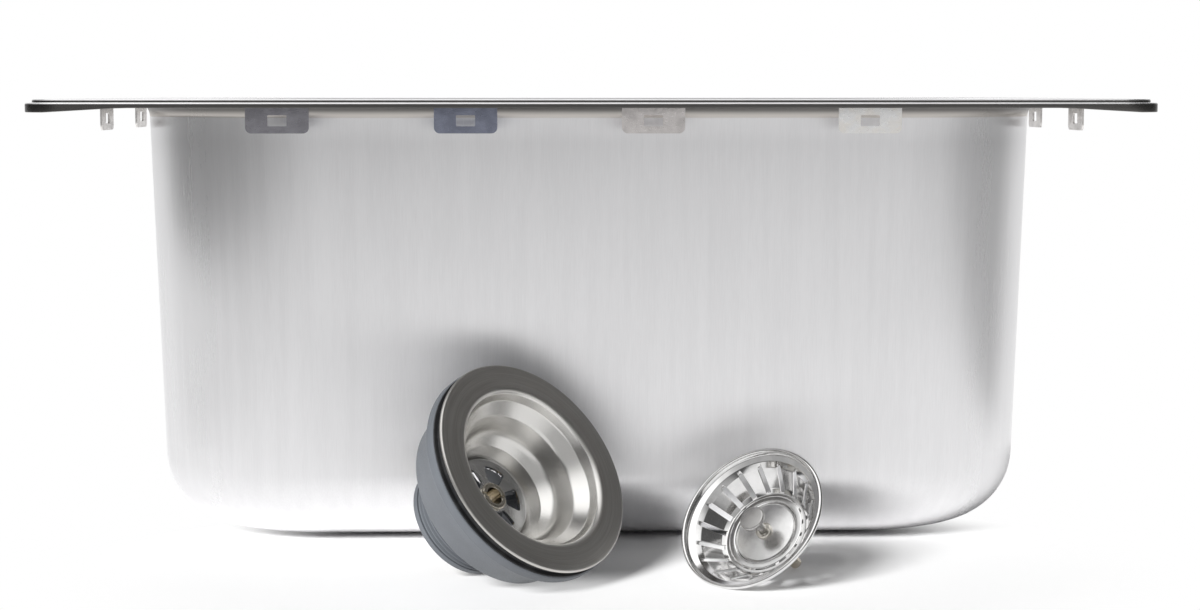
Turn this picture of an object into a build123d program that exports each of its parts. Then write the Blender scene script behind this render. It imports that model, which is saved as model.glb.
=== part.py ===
from build123d import *
import math
import os

# A drop-in stainless laundry tub with its basket waste and strainer basket lying loose in front.
# Millimetres, +Z up, origin in the middle of the drain hole at the level that the tub stands on.
# The front of the tub faces -Y.

os.makedirs("parts", exist_ok=True)

# Tub
rim_width = 572.0
rim_depth = 470.0
tub_height = 236.0
sheet = 0.9
flange_width = 41.5
rim_corner_radius = 20.0
bowl_corner_radius = 100.0
bowl_draft_deg = 1.8
bowl_floor_radius = 38.0
rim_roll_radius = 9.0

# Edge of the rim: a raised land, a low lip around it and a turned-down hem, deeper at the corners
lip_width = 3.5
lip_drop = 1.8
hem_depth = 2.6
hem_corner_depth = 4.8
hem_slope_start = 12.0
hem_slope_end = 50.0
hem_trim_band = 2.7

# Floor of the bowl: a shallow fall to a recess that takes the flange of the waste
drain_radius = 45.0
recess_margin = 3.5
recess_depth = 1.2
floor_fall = 0.6
floor_fall_radius = 125.0

# Fixing tabs
tab_width = 32.0
tab_sheet = 1.0
tab_drop = 16.4
tab_foot = 12.0
tab_bend_radius = 1.6
tab_corner_radius = 3.0
tab_inset = 18.5
tab_slot_length = 9.7
tab_slot_height = 5.6
tab_slot_above_edge = 6.4
front_tab_places = (-160.0, -65.0, 30.0, 140.0)
left_tab_places = (-107.0, -5.0, 97.0)
right_tab_places = (-123.0, -21.0, 81.0)

# Waste: depths are measured down its axis from the face of the steel flange
steel = 1.0
flange_radius = 56.5
flange_edge_drop = 1.3
throat_radius = 42.0
ledge_radius = 39.9
ledge_depth = 6.5
knee_radius = 34.2
knee_depth = 12.0
sump_wall_radius = 30.9
sump_wall_depth = 23.0
sump_depth = 27.8
funnel_radius = 25.7
grid_seat_radius = 22.4
grid_seat_lip = 4.0
grid_top_depth = 33.8
lip_bend = 0.7
throat_bend = 3.0
ledge_bend = 3.0
knee_bend = 5.0
sump_bend = 10.0
sump_floor_bend = 0.7
seat_bend = 1.0
grid_thickness = 2.0
grid_clearance = 0.5
spoke_count = 5
spoke_phase_deg = 92.7
window_inner_radius = 8.4
window_outer_radius = 17.2
window_angle_deg = 44.0
window_corner_radius = 1.6
grid_edge_round = 0.7

# Hollow clamping screw and the brass insert that it turns in
screw_head_radius = 7.3
screw_head_height = 1.9
screw_radius = 5.9
screw_bore_radius = 4.5
screw_length = 20.8
screw_slot_width = 1.8
screw_slot_depth = 1.1
screw_slot_deg = -20.0
running_clearance = 0.06
insert_radius = 8.5
insert_length = 15.0
insert_gap = 3.0

# Seals and the plastic body
flange_seal_thickness = 4.4
flange_seal_inset = 1.6
body_seal_thickness = 0.8
body_seal_inset = 0.6
seal_bore_clearance = 0.5
body_flange_radius = 57.0
body_flange_thickness = 5.4
body_shoulder_radius = 53.0
body_edge_radius = 47.3
body_edge_depth = 33.5
body_wall = 2.6
body_edge_round = 1.5
tail_radius = 29.8
tail_length = 60.0
tail_bore_radius = 26.3
outlet_bore_radius = 26.8
outlet_bore_length = 5.0
thread_pitch = 2.3
thread_depth = 1.2
thread_crest = 0.45
thread_flank = 0.7
thread_lead = 3.0
boss_wall = 2.5
web_count = 4
web_thickness = 2.5

# Strainer basket: depths are measured down its axis from the plane of its rim
basket_sheet = 0.7
basket_radius = 39.1
bead_radius = 1.1
basket_band_radius = 36.9
basket_band_depth = 3.7
shoulder_radius = 33.8
shoulder_depth = 4.6
cone_top_radius = 31.2
cone_top_depth = 6.6
cone_foot_radius = 24.6
cone_foot_depth = 15.7
basket_floor_radius = 22.4
basket_floor_depth = 17.3
basket_bend = 1.1
basket_cone_bend = 2.1
floor_ring_bend = 0.4
floor_ring_outer = 20.6
floor_ring_inner = 16.6
floor_ring_height = 1.0
slot_count = 18
slot_phase_deg = 90.0
slot_width = 2.8
slot_inner_radius = 21.6
slot_outer_radius = 32.2
disc_clearance = 0.3
disc_rise = 0.9

# Knob, bush and plug that slide together through the floor of the basket
head_radius = 6.5
head_depth = 1.4
head_thickness = 2.4
head_round = 0.8
post_radius = 2.75
neck_radius = 2.2
shoulder_gap = 0.4
plug_travel = 4.0
bush_radius = 3.4
bush_collar_radius = 4.3
bush_collar_height = 1.4
bush_seat_gap = 0.05
bush_below_floor = 0.2
plug_gap = 0.3
seal_radius = 23.6
seal_thickness = 2.0
seal_taper = 2.3
backing_radius = 9.0
backing_thickness = 0.8
stem_radius = 3.3
stem_tip_radius = 3.0
stem_tip_round = 0.5
stem_tip_length = 16.0
stem_tip_depth = 49.6
grip_ring_depth = 37.0
grip_ring_height = 2.4
grip_ring_radius = 4.3
grip_groove_depth = 0.8

# Where the two loose assemblies lie: the middle of each top face and the way each one looks
waste_place = (-30.2, -271.6)
waste_azimuth_deg = 48.1
basket_place = (75.3, -268.9)
basket_azimuth_deg = -41.9


def revolved(outline):
    """Solid turned about the Z axis from (radius, height) corners."""
    profile = make_face(Polyline(*[(r, 0, z) for r, z in outline], close=True))
    return revolve(profile, Axis.Z)


def pressed(path, radii, thickness):
    """Pressed round sheet: a (radius, height) path with rounded corners, given a thickness."""
    line = FilletPolyline(*[(r, z) for r, z in path], radius=radii)
    section = trace(line, thickness)
    return revolve(Plane.XZ * section, Axis.Z)


def rod(radius, low, high):
    """Solid cylinder on the Z axis between two heights."""
    return Pos(0, 0, low) * Cylinder(radius, high - low, align=(Align.CENTER, Align.CENTER, Align.MIN))


def washer(outer, inner, low, high):
    """Flat ring on the Z axis between two heights."""
    return rod(outer, low, high) - rod(inner, low, high)


def slab(width, depth, corner, low, high):
    """Rounded rectangular block between two heights."""
    return extrude(Pos(0, 0, low) * RectangleRounded(width, depth, corner), high - low)


def frame_ring(inset, wall, low, high):
    """Rectangular ring that follows the edge of the rim, inset from it."""
    outer = slab(rim_width - 2 * inset, rim_depth - 2 * inset, rim_corner_radius - inset, low, high)
    gap = inset + wall
    return outer - slab(rim_width - 2 * gap, rim_depth - 2 * gap, rim_corner_radius - gap, low, high)


def bowl_volume(inset):
    """Filled bowl below the rim, inset by 0 for its outside or by the sheet for its inside."""
    width = rim_width - 2 * flange_width - 2 * inset
    depth = rim_depth - 2 * flange_width - 2 * inset
    floor_z = recess_depth + floor_fall + inset
    mouth = Pos(0, 0, tub_height) * RectangleRounded(width, depth, bowl_corner_radius - inset)
    block = extrude(mouth, tub_height - floor_z, dir=(0, 0, -1), taper=bowl_draft_deg)
    block = fillet(block.edges().group_by(Axis.Z)[0], bowl_floor_radius - inset)
    recess_radius = flange_radius + recess_margin
    fall = Pos(0, 0, floor_z - floor_fall / 2) * Cone(recess_radius, floor_fall_radius, floor_fall)
    recess = rod(recess_radius - inset, inset, floor_z)
    return block + fall + recess


def near_bowl(edge):
    """True for an edge that runs around the bowl, false for one on the edge of the rim."""
    middle = edge.center()
    reach = flange_width / 2
    return abs(middle.X) < rim_width / 2 - reach and abs(middle.Y) < rim_depth / 2 - reach


def edges_at(shape, height):
    """Edges around the bowl that lie at one height."""
    tolerance = sheet / 10
    level = shape.edges().filter_by_position(Axis.Z, height - tolerance, height + tolerance)
    return level.filter_by(near_bowl)


def hem_relief(length):
    """Outline that trims the hem along one side, so that it stays deep at the corners only."""
    low = tub_height - lip_drop - hem_corner_depth
    high = tub_height - lip_drop - hem_depth
    half = length / 2
    corners = [
        (-(half - hem_slope_start), low - sheet),
        (-(half - hem_slope_start), low),
        (-(half - hem_slope_end), high),
        (half - hem_slope_end, high),
        (half - hem_slope_start, low),
        (half - hem_slope_start, low - sheet),
    ]
    return make_face(Polyline(*[(x, z) for x, z in corners], close=True))


def tub_bowl():
    """Bowl and rim, one drawn sheet with the drain hole."""
    land = slab(rim_width - 2 * lip_width, rim_depth - 2 * lip_width, rim_corner_radius - lip_width,
                tub_height - sheet, tub_height)
    solid = bowl_volume(0) + land
    solid = fillet(edges_at(solid, tub_height - sheet), rim_roll_radius)
    solid -= bowl_volume(sheet)
    solid = fillet(edges_at(solid, tub_height), rim_roll_radius - sheet)
    lip_top = tub_height - lip_drop
    step = frame_ring(lip_width, sheet, lip_top - sheet, tub_height - sheet)
    lip = frame_ring(0, lip_width + sheet, lip_top - sheet, lip_top)
    hem = frame_ring(0, sheet, lip_top - hem_corner_depth, lip_top - sheet)
    for side, length, reach in ((0, rim_width, rim_depth), (90, rim_depth, rim_width)):
        cutter = Rot(0, 0, side) * extrude(Plane.XZ * hem_relief(length), reach, both=True)
        inside = Rot(0, 0, side) * Box(length, reach - 2 * hem_trim_band, 2 * tub_height)
        hem -= cutter - inside
    solid = solid + step + lip + hem
    return solid - rod(drain_radius, -sheet, 2 * sheet)


def edge_near(shape, y, z):
    """Edges along X that pass close to one point of the YZ plane."""
    along = shape.edges().filter_by(Axis.X)
    return along.filter_by(lambda e: math.hypot(e.center().Y - y, e.center().Z - z) < tab_sheet / 4)


def fixing_tab():
    """Bent tab: its foot lies under the rim and its slotted leg hangs down, outer face at y = 0."""
    leg = Pos(0, tab_sheet / 2, -tab_drop / 2) * Box(tab_width, tab_sheet, tab_drop)
    foot = Pos(0, tab_foot / 2, -tab_sheet / 2) * Box(tab_width, tab_foot, tab_sheet)
    tab = leg + foot
    tab = fillet(edge_near(tab, tab_sheet, -tab_sheet), tab_bend_radius - tab_sheet)
    tab = fillet(edge_near(tab, 0, 0), tab_bend_radius)
    corners = tab.edges().filter_by(Axis.Y).group_by(Axis.Z)[0]
    tab = fillet(corners, tab_corner_radius)
    slot_z = tab_slot_above_edge - tab_drop
    slot = Plane.XZ * Pos(0, slot_z) * RectangleRounded(tab_slot_length, tab_slot_height, tab_sheet / 2)
    return tab - extrude(slot, 2 * tab_sheet, both=True)


def steel_path():
    """Section of the strainer bowl from the edge of its flange down to the lip under the grid."""
    middle = steel / 2
    edge = flange_radius - middle
    seat = grid_top_depth + grid_thickness + middle
    return [
        (edge, -flange_edge_drop),
        (edge, -middle),
        (throat_radius, -middle),
        (ledge_radius, -ledge_depth),
        (knee_radius, -knee_depth),
        (sump_wall_radius, -sump_wall_depth),
        (funnel_radius, -sump_depth),
        (grid_seat_radius, -seat),
        (grid_seat_radius - grid_seat_lip, -seat),
    ]


def strainer_bowl():
    """Pressed flange and stepped bowl of the waste."""
    bends = (lip_bend, throat_bend, ledge_bend, knee_bend, sump_bend, sump_floor_bend, seat_bend)
    return pressed(steel_path(), bends, steel)


def strainer_grid():
    """Spoked grid that lies on the lip in the bottom of the strainer bowl."""
    low = -(grid_top_depth + grid_thickness)
    radius = grid_seat_radius - steel / 2 - grid_clearance
    grid = rod(radius, low, -grid_top_depth)
    grid = fillet(grid.edges().group_by(Axis.Z)[-1], grid_edge_round)
    ring = Circle(window_outer_radius) - Circle(window_inner_radius)
    reach = 2 * window_outer_radius
    side = math.radians(window_angle_deg / 2)
    wedge = make_face(Polyline((0, 0), (reach * math.cos(side), reach * math.sin(side)),
                               (reach * math.cos(side), -reach * math.sin(side)), close=True))
    window = ring & wedge
    window = fillet(window.vertices(), window_corner_radius)
    cutter = Pos(0, 0, low - steel) * extrude(window, grid_thickness + 2 * steel)
    pitch = 360 / spoke_count
    for index in range(spoke_count):
        grid -= Rot(0, 0, spoke_phase_deg + (index + 0.5) * pitch) * cutter
    hole = screw_radius + running_clearance
    return grid - rod(hole, low - steel, -grid_top_depth + steel)


def clamp_screw():
    """Hollow screw: a slotted ring head on the grid and a shank down into the insert."""
    head_low = -grid_top_depth
    head = rod(screw_head_radius, head_low, head_low + screw_head_height)
    head = fillet(head.edges().group_by(Axis.Z)[-1], screw_head_height / 2)
    shank = rod(screw_radius, head_low - screw_length, head_low)
    slot = Pos(0, 0, head_low + screw_head_height) * Box(
        3 * screw_head_radius, screw_slot_width, 2 * screw_slot_depth)
    screw = head + shank - Rot(0, 0, screw_slot_deg) * slot
    return screw - rod(screw_bore_radius, head_low - screw_length, head_low + screw_head_height)


def flange_seal():
    """Thick washer under the steel flange."""
    top = -steel
    outer = flange_radius - flange_seal_inset
    inner = throat_radius + steel + seal_bore_clearance + 2 * steel
    return washer(outer, inner, top - flange_seal_thickness, top)


def body_seal():
    """Thin washer on the plastic body."""
    top = -(steel + flange_seal_thickness)
    outer = body_flange_radius - body_seal_inset
    inner = throat_radius + steel + seal_bore_clearance
    return washer(outer, inner, top - body_seal_thickness, top)


def thread_outline(top, bottom):
    """Outside of the threaded tail as (radius, height) corners, one ridge per pitch."""
    root = tail_radius - thread_depth
    crest = thread_crest / 2
    foot = crest + thread_flank
    corners = [(root, top)]
    for index in range(int((top - bottom) / thread_pitch)):
        middle = top - (index + 0.5) * thread_pitch
        corners += [(root, middle + foot), (tail_radius, middle + crest),
                    (tail_radius, middle - crest), (root, middle - foot)]
    return corners + [(root, bottom)]


def waste_body():
    """Plastic body: a flanged cup around the strainer bowl, a threaded tail and a boss on webs."""
    top = -(steel + flange_seal_thickness + body_seal_thickness)
    mouth = throat_radius + steel + seal_bore_clearance
    floor_top = -(body_edge_depth - body_wall)
    neck = -(body_edge_depth + body_wall)
    outline = [
        (mouth, top),
        (body_flange_radius, top),
        (body_flange_radius, top - body_flange_thickness),
        (body_shoulder_radius, top - body_flange_thickness),
        (body_edge_radius, -body_edge_depth),
        (body_edge_radius - body_edge_round, -(body_edge_depth + body_edge_round)),
        (tail_radius, neck),
    ]
    outline += thread_outline(neck - thread_pitch, thread_lead - tail_length)
    outline += [
        (tail_radius, thread_lead - tail_length),
        (tail_radius, -tail_length),
        (outlet_bore_radius, -tail_length),
        (outlet_bore_radius, outlet_bore_length - tail_length),
        (tail_bore_radius, outlet_bore_length - tail_length),
        (tail_bore_radius, floor_top),
        (mouth, floor_top),
    ]
    body = revolved(outline)
    boss_top = -(grid_top_depth + grid_thickness + steel + insert_gap)
    boss_low = boss_top - insert_length
    boss_radius = insert_radius + boss_wall
    body += washer(boss_radius, insert_radius, boss_low, boss_top)
    span = (boss_radius + tail_bore_radius) / 2
    width = tail_bore_radius - boss_radius + boss_wall
    web = Pos(span, 0, (boss_low + boss_top) / 2) * Box(width, web_thickness, insert_length)
    for index in range(web_count):
        body += Rot(0, 0, 360 / web_count * index) * web
    return body


def thread_insert():
    """Brass insert in the boss."""
    top = -(grid_top_depth + grid_thickness + steel + insert_gap)
    return washer(insert_radius, screw_radius + running_clearance, top - insert_length, top)


def basket_shell():
    """Slotted basket with a rolled rim and a ring pressed into its floor."""
    path = [
        (basket_radius - bead_radius, -bead_radius),
        (basket_band_radius, -basket_band_depth),
        (shoulder_radius, -shoulder_depth),
        (cone_top_radius, -cone_top_depth),
        (cone_foot_radius, -cone_foot_depth),
        (basket_floor_radius, -basket_floor_depth),
        (floor_ring_outer, -basket_floor_depth),
        (floor_ring_outer - basket_sheet, floor_ring_height - basket_floor_depth),
        (floor_ring_inner + basket_sheet, floor_ring_height - basket_floor_depth),
        (floor_ring_inner, -basket_floor_depth),
        (bush_radius + basket_sheet / 2, -basket_floor_depth),
    ]
    upper = (basket_bend, basket_bend, basket_cone_bend, basket_cone_bend, basket_bend)
    ring = (floor_ring_bend,) * 4
    shell = pressed(path, upper + ring, basket_sheet)
    shell -= rod(bush_radius, -(basket_floor_depth + basket_sheet), -(basket_floor_depth - basket_sheet))
    bead = revolve(Plane.XZ * Pos(basket_radius - bead_radius, -bead_radius) * Circle(bead_radius), Axis.Z)
    length = slot_outer_radius - slot_inner_radius
    middle = (slot_outer_radius + slot_inner_radius) / 2
    slot = Pos(middle, 0, floor_ring_bend - basket_floor_depth) * extrude(
        SlotOverall(length, slot_width), basket_floor_depth)
    shell += bead
    for index in range(slot_count):
        shell -= Rot(0, 0, slot_phase_deg + 360 / slot_count * index) * slot
    return shell


# Levels of the pieces that pass through the floor of the basket, from the top down
disc_top = disc_rise + basket_sheet + disc_clearance / 2 - (basket_floor_depth - basket_sheet / 2)
bush_top = disc_top + bush_seat_gap + bush_collar_height
bush_low = -(basket_floor_depth + basket_sheet / 2 + bush_below_floor)
seal_top = bush_low - plug_gap
seal_low = seal_top - seal_thickness
stem_top = seal_low - backing_thickness


def centre_disc():
    """Shallow cone of sheet set into the middle of the basket's floor."""
    edge = floor_ring_inner - basket_sheet - disc_clearance
    rim_top = disc_top - disc_rise
    cone = [(bush_radius, disc_top), (edge, rim_top), (edge, rim_top - basket_sheet),
            (bush_radius, disc_top - basket_sheet)]
    return revolved(cone)


def hub_bush():
    """Collared bush fixed in the floor of the basket, which guides the neck of the knob."""
    collar = rod(bush_collar_radius, bush_top - bush_collar_height, bush_top)
    collar = fillet(collar.edges().group_by(Axis.Z)[-1], bush_collar_height / 3)
    bush = rod(bush_radius, bush_low, bush_top - bush_collar_height) + collar
    return bush - rod(neck_radius + running_clearance, bush_low, bush_top)


def knob():
    """Turned knob: a flat head, a post and a thin neck that passes down through the bush."""
    head_low = -(head_depth + head_thickness)
    head = rod(head_radius, head_low, -head_depth)
    head = fillet(head.edges().filter_by(GeomType.CIRCLE), head_round)
    shoulder = bush_top + plug_travel + shoulder_gap
    post = rod(post_radius, shoulder, head_low)
    return head + post + rod(neck_radius, stem_top, shoulder)


def plug_seal():
    """Rubber plug, a disc that tapers downwards."""
    bore = neck_radius + running_clearance
    return revolved([(bore, seal_top), (seal_radius, seal_top),
                     (seal_radius - seal_taper, seal_low), (bore, seal_low)])


def seal_washer():
    """Washer that carries the rubber plug from below."""
    return washer(backing_radius, neck_radius + running_clearance, stem_top, seal_low)


def plug_stem():
    """Stem below the plug, with a groove for the grip ring and a slimmer rounded tip."""
    step = stem_tip_length - stem_tip_depth
    stem = rod(stem_radius, step, stem_top)
    tip = rod(stem_tip_radius, -stem_tip_depth, step)
    tip = fillet(tip.edges().group_by(Axis.Z)[0], stem_tip_round)
    return stem + tip - grip_groove(2 * stem_radius)


def grip_groove(outer):
    """Ring at the place of the grip ring, from the bottom of its groove out to a radius."""
    reach = grip_ring_height / 2
    groove_floor = stem_tip_radius - grip_groove_depth
    return washer(outer, groove_floor, -(grip_ring_depth + reach), -(grip_ring_depth - reach))


def grip_ring():
    """Rubber ring in the groove of the stem."""
    ring = grip_groove(grip_ring_radius)
    rounds = ring.edges().filter_by(GeomType.CIRCLE)
    return fillet(rounds.filter_by(lambda e: e.radius > stem_radius), grip_ring_height / 4)


def lying(place, azimuth_deg, wide, narrow):
    """Frame of a piece that lies on two round edges and looks up and sideways.

    Each edge is (radius, depth, rounding) of the circle that its rounding is centred on.
    """
    (wide_radius, wide_depth, wide_round), (narrow_radius, narrow_depth, narrow_round) = wide, narrow
    fall = wide_radius - narrow_radius
    length = narrow_depth - wide_depth
    tilt = math.atan2(fall, length) + math.asin((wide_round - narrow_round) / math.hypot(fall, length))
    turn = math.radians(azimuth_deg)
    height = narrow_depth * math.sin(tilt) + narrow_radius * math.cos(tilt) + narrow_round
    axis = (math.sin(turn) * math.cos(tilt), -math.cos(turn) * math.cos(tilt), math.sin(tilt))
    level = (math.cos(turn), math.sin(turn), 0)
    return Plane(origin=(*place, height), x_dir=level, z_dir=axis)


waste_frame = lying(waste_place, waste_azimuth_deg, (body_edge_radius, body_edge_depth, 0),
                    (tail_radius, tail_length, 0))
basket_frame = lying(basket_place, basket_azimuth_deg,
                     (basket_radius - bead_radius, bead_radius, bead_radius),
                     (stem_tip_radius - stem_tip_round, stem_tip_depth - stem_tip_round, stem_tip_round))

nodes = {"tub_bowl": tub_bowl()}

# Tabs on the four sides: the distance along each side and the turn that faces the tab outwards
tab = fixing_tab()
tab_z = tub_height - sheet
front_y = rim_depth / 2 - tab_inset
side_x = rim_width / 2 - tab_inset
for number, place in enumerate(front_tab_places, start=1):
    nodes[f"front_tab_{number}"] = Pos(place, -front_y, tab_z) * tab
    nodes[f"back_tab_{number}"] = Pos(-place, front_y, tab_z) * Rot(0, 0, 180) * tab
for number, place in enumerate(left_tab_places, start=1):
    nodes[f"left_tab_{number}"] = Pos(-side_x, place, tab_z) * Rot(0, 0, -90) * tab
for number, place in enumerate(right_tab_places, start=1):
    nodes[f"right_tab_{number}"] = Pos(side_x, place, tab_z) * Rot(0, 0, 90) * tab

waste_pieces = (strainer_bowl, strainer_grid, clamp_screw, flange_seal, body_seal, waste_body, thread_insert)
for piece in waste_pieces:
    nodes[piece.__name__] = waste_frame.location * piece()

basket_pieces = (basket_shell, centre_disc, hub_bush, knob, plug_seal, seal_washer, plug_stem, grip_ring)
for piece in basket_pieces:
    nodes[piece.__name__] = basket_frame.location * piece()

for name, shape in nodes.items():
    export_step(shape, f"parts/{name}.step")
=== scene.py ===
"""Dresses the laundry tub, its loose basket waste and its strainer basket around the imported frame.

Sizes are in millimetres, measured as on the real pieces, and become metres in the meshes.
"""

import logging
import math
from dataclasses import astuple, dataclass, field
from enum import Enum

import bmesh
import bpy
from mathutils import Matrix, Vector


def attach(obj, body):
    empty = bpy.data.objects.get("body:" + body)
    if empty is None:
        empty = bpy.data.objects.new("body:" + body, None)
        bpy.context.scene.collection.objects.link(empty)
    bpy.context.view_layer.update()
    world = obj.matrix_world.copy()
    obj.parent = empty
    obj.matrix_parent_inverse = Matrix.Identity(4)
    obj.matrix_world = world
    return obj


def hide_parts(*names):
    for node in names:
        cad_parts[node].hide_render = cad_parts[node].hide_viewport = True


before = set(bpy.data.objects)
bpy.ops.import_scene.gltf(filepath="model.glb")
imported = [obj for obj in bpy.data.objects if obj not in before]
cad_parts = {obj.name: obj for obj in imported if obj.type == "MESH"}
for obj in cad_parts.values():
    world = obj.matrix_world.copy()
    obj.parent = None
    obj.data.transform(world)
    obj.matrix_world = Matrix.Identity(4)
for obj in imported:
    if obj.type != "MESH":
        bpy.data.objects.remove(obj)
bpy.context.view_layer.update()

logging.basicConfig(level=logging.INFO, format="%(message)s")
LOG = logging.getLogger("laundry_tub")

MM = 0.001
WELD = 0.002 * MM
SHARP_DEG = 32.0
LATHE_COLUMNS = 288
SPIRAL_STEPS = 96
FINE_STEP_DEG = 6.0
NOISE_CORE = (0.35, 0.65)
NOISE_BAND = (0.3, 0.7)
Point = tuple[float, float]
Corner = tuple[float, float, float]
Colour = tuple[float, float, float]
Outline = list[Point]
Piece = bpy.types.Object
Finish = bpy.types.Material
Socket = bpy.types.NodeSocket


def polar(radius: float, turn: float) -> Point:
    """Point at a radius and an angle in radians."""
    return radius * math.cos(turn), radius * math.sin(turn)


def arc(centre: Point, radius: float, start: float, end: float, steps: int) -> Outline:
    """Points of an arc, with both its ends.

    Args:
        centre: the middle of the arc.
        radius: its radius.
        start: its first angle in radians.
        end: its last angle in radians.
        steps: the number of pieces it is split into.

    Returns:
        One point more than there are steps.
    """
    turns = [start + (end - start) * step / steps for step in range(steps + 1)]
    return [(centre[0] + x, centre[1] + y) for x, y in (polar(radius, turn) for turn in turns)]


def box(left: float, right: float, half: float) -> Outline:
    """Corners of a rectangle that lies evenly on the X axis."""
    return [(left, -half), (right, -half), (right, half), (left, half)]


def ring(inner: float, outer: float, low: float, high: float, *easing: float) -> list[Corner]:
    """Corners of a plain ring's section, from the lower inner one outwards and up.

    Args:
        inner: the bore's radius.
        outer: the outer radius.
        low: the height of its lower face.
        high: the height of its upper face.
        easing: the rounding of the four corners, or one for all of them.

    Returns:
        (radius, height, rounding) of each corner.
    """
    places = ((inner, low), (outer, low), (outer, high), (inner, high))
    return [(*place, ease) for place, ease in zip(places, easing * (4 // len(easing)))]


def rounded(corners: list[Corner], closed: bool = True, step_deg: float = 9.0) -> Outline:
    """Replace each corner of an outline by an arc of its own radius.

    Args:
        corners: (radius from the axis, height, rounding) of each corner.
        closed: True for a closed section, False for an open path.
        step_deg: largest turn between two points of an arc.

    Returns:
        The points of the rounded outline.
    """
    points: Outline = []
    count = len(corners)
    for index, (x, z, radius) in enumerate(corners):
        is_end = not closed and index in (0, count - 1)
        here = Vector((x, z))
        arriving = here - Vector(corners[index - 1][:2])
        leaving = Vector(corners[(index + 1) % count][:2]) - here
        turn = 0.0 if is_end else math.atan2(arriving.cross(leaving), arriving.dot(leaving))
        if radius <= 0 or abs(turn) < math.radians(0.5):
            points.append((x, z))
            continue
        arriving.normalize()
        start = here - arriving * radius * math.tan(abs(turn) / 2)
        side = Vector((-arriving.y, arriving.x)) * math.copysign(1, turn)
        centre = start + side * radius
        arm = start - centre
        steps = max(2, math.ceil(abs(math.degrees(turn)) / step_deg))
        for step in range(steps + 1):
            angle = turn * step / steps
            spun = Vector((arm.x * math.cos(angle) - arm.y * math.sin(angle),
                           arm.x * math.sin(angle) + arm.y * math.cos(angle)))
            points.append(tuple(centre + spun))
    return points


def enclosed(outline: Outline) -> float:
    """Twice the area of a closed outline, negative where it runs clockwise."""
    return sum(a[0] * b[1] - b[0] * a[1] for a, b in zip(outline, outline[1:] + outline[:1]))


def sheet_section(path: Outline, thickness: float) -> Outline:
    """Give an open path of points a sheet's thickness, half to each side.

    Args:
        path: the middle line of the sheet.
        thickness: the sheet's thickness.

    Returns:
        The closed section, with its edges slightly broken at both ends.
    """
    ease = thickness * 0.25
    first: list[Vector] = []
    second: list[Vector] = []
    last = len(path) - 1
    for index, here in enumerate(path):
        ahead, behind = path[min(index + 1, last)], path[max(index - 1, 0)]
        along = (Vector(ahead) - Vector(behind)).normalized()
        across = Vector((-along.y, along.x)) * thickness / 2
        first.append(Vector(here) + across)
        second.append(Vector(here) - across)
    ends: list[Outline] = []
    for tip, inner in ((last, last - 1), (0, 1)):
        outwards = (Vector(path[tip]) - Vector(path[inner])).normalized() * ease
        across = (first[tip] - second[tip]).normalized() * ease
        ends.append([tuple(first[tip] - across), tuple(second[tip] + across)])
        first[tip] = first[tip] - outwards
        second[tip] = second[tip] - outwards
    far, near = ends
    return [*map(tuple, first), *far, *map(tuple, reversed(second)), *reversed(near)]


@dataclass(frozen=True)
class Row:
    """One ring of a swept section, in millimetres."""

    reach_x: float
    reach_y: float
    corner: float
    height: float
    swell: float = 0.0


@dataclass(frozen=True)
class Column:
    """One station around a swept section: which corner it hangs on and the way it faces."""

    side_x: float
    side_y: float
    facing_x: float
    facing_y: float
    drop: float = 0.0


def round_columns(count: int = LATHE_COLUMNS) -> list[Column]:
    """Stations of a turned piece, the first repeated at the end."""
    ways = arc((0, 0), 1.0, 0.0, 2 * math.pi, count)[:-1]
    return [Column(0, 0, *way) for way in (*ways, ways[0])]


def turned_rows(section: Outline) -> list[Row]:
    """Rings of a turned piece from its closed section, whichever way the section runs.

    Args:
        section: the points of the section.

    Returns:
        The rings, the first repeated at the end.
    """
    if enclosed(section) < 0:
        section = section[::-1]
    return [Row(radius, radius, radius, height) for radius, height in (*section, section[0])]


def adjust(target: object, settings: dict[str, object]) -> None:
    """Set attributes by their names."""
    for key, value in settings.items():
        setattr(target, key, value)


def placed(name: str, data: bpy.types.ID) -> bpy.types.Object:
    """Put something into the scene.

    Args:
        name: its name there.
        data: a mesh, a camera or a lamp.

    Returns:
        Its object.
    """
    thing = bpy.data.objects.new(name, data)
    bpy.context.scene.collection.objects.link(thing)
    return thing


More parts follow.
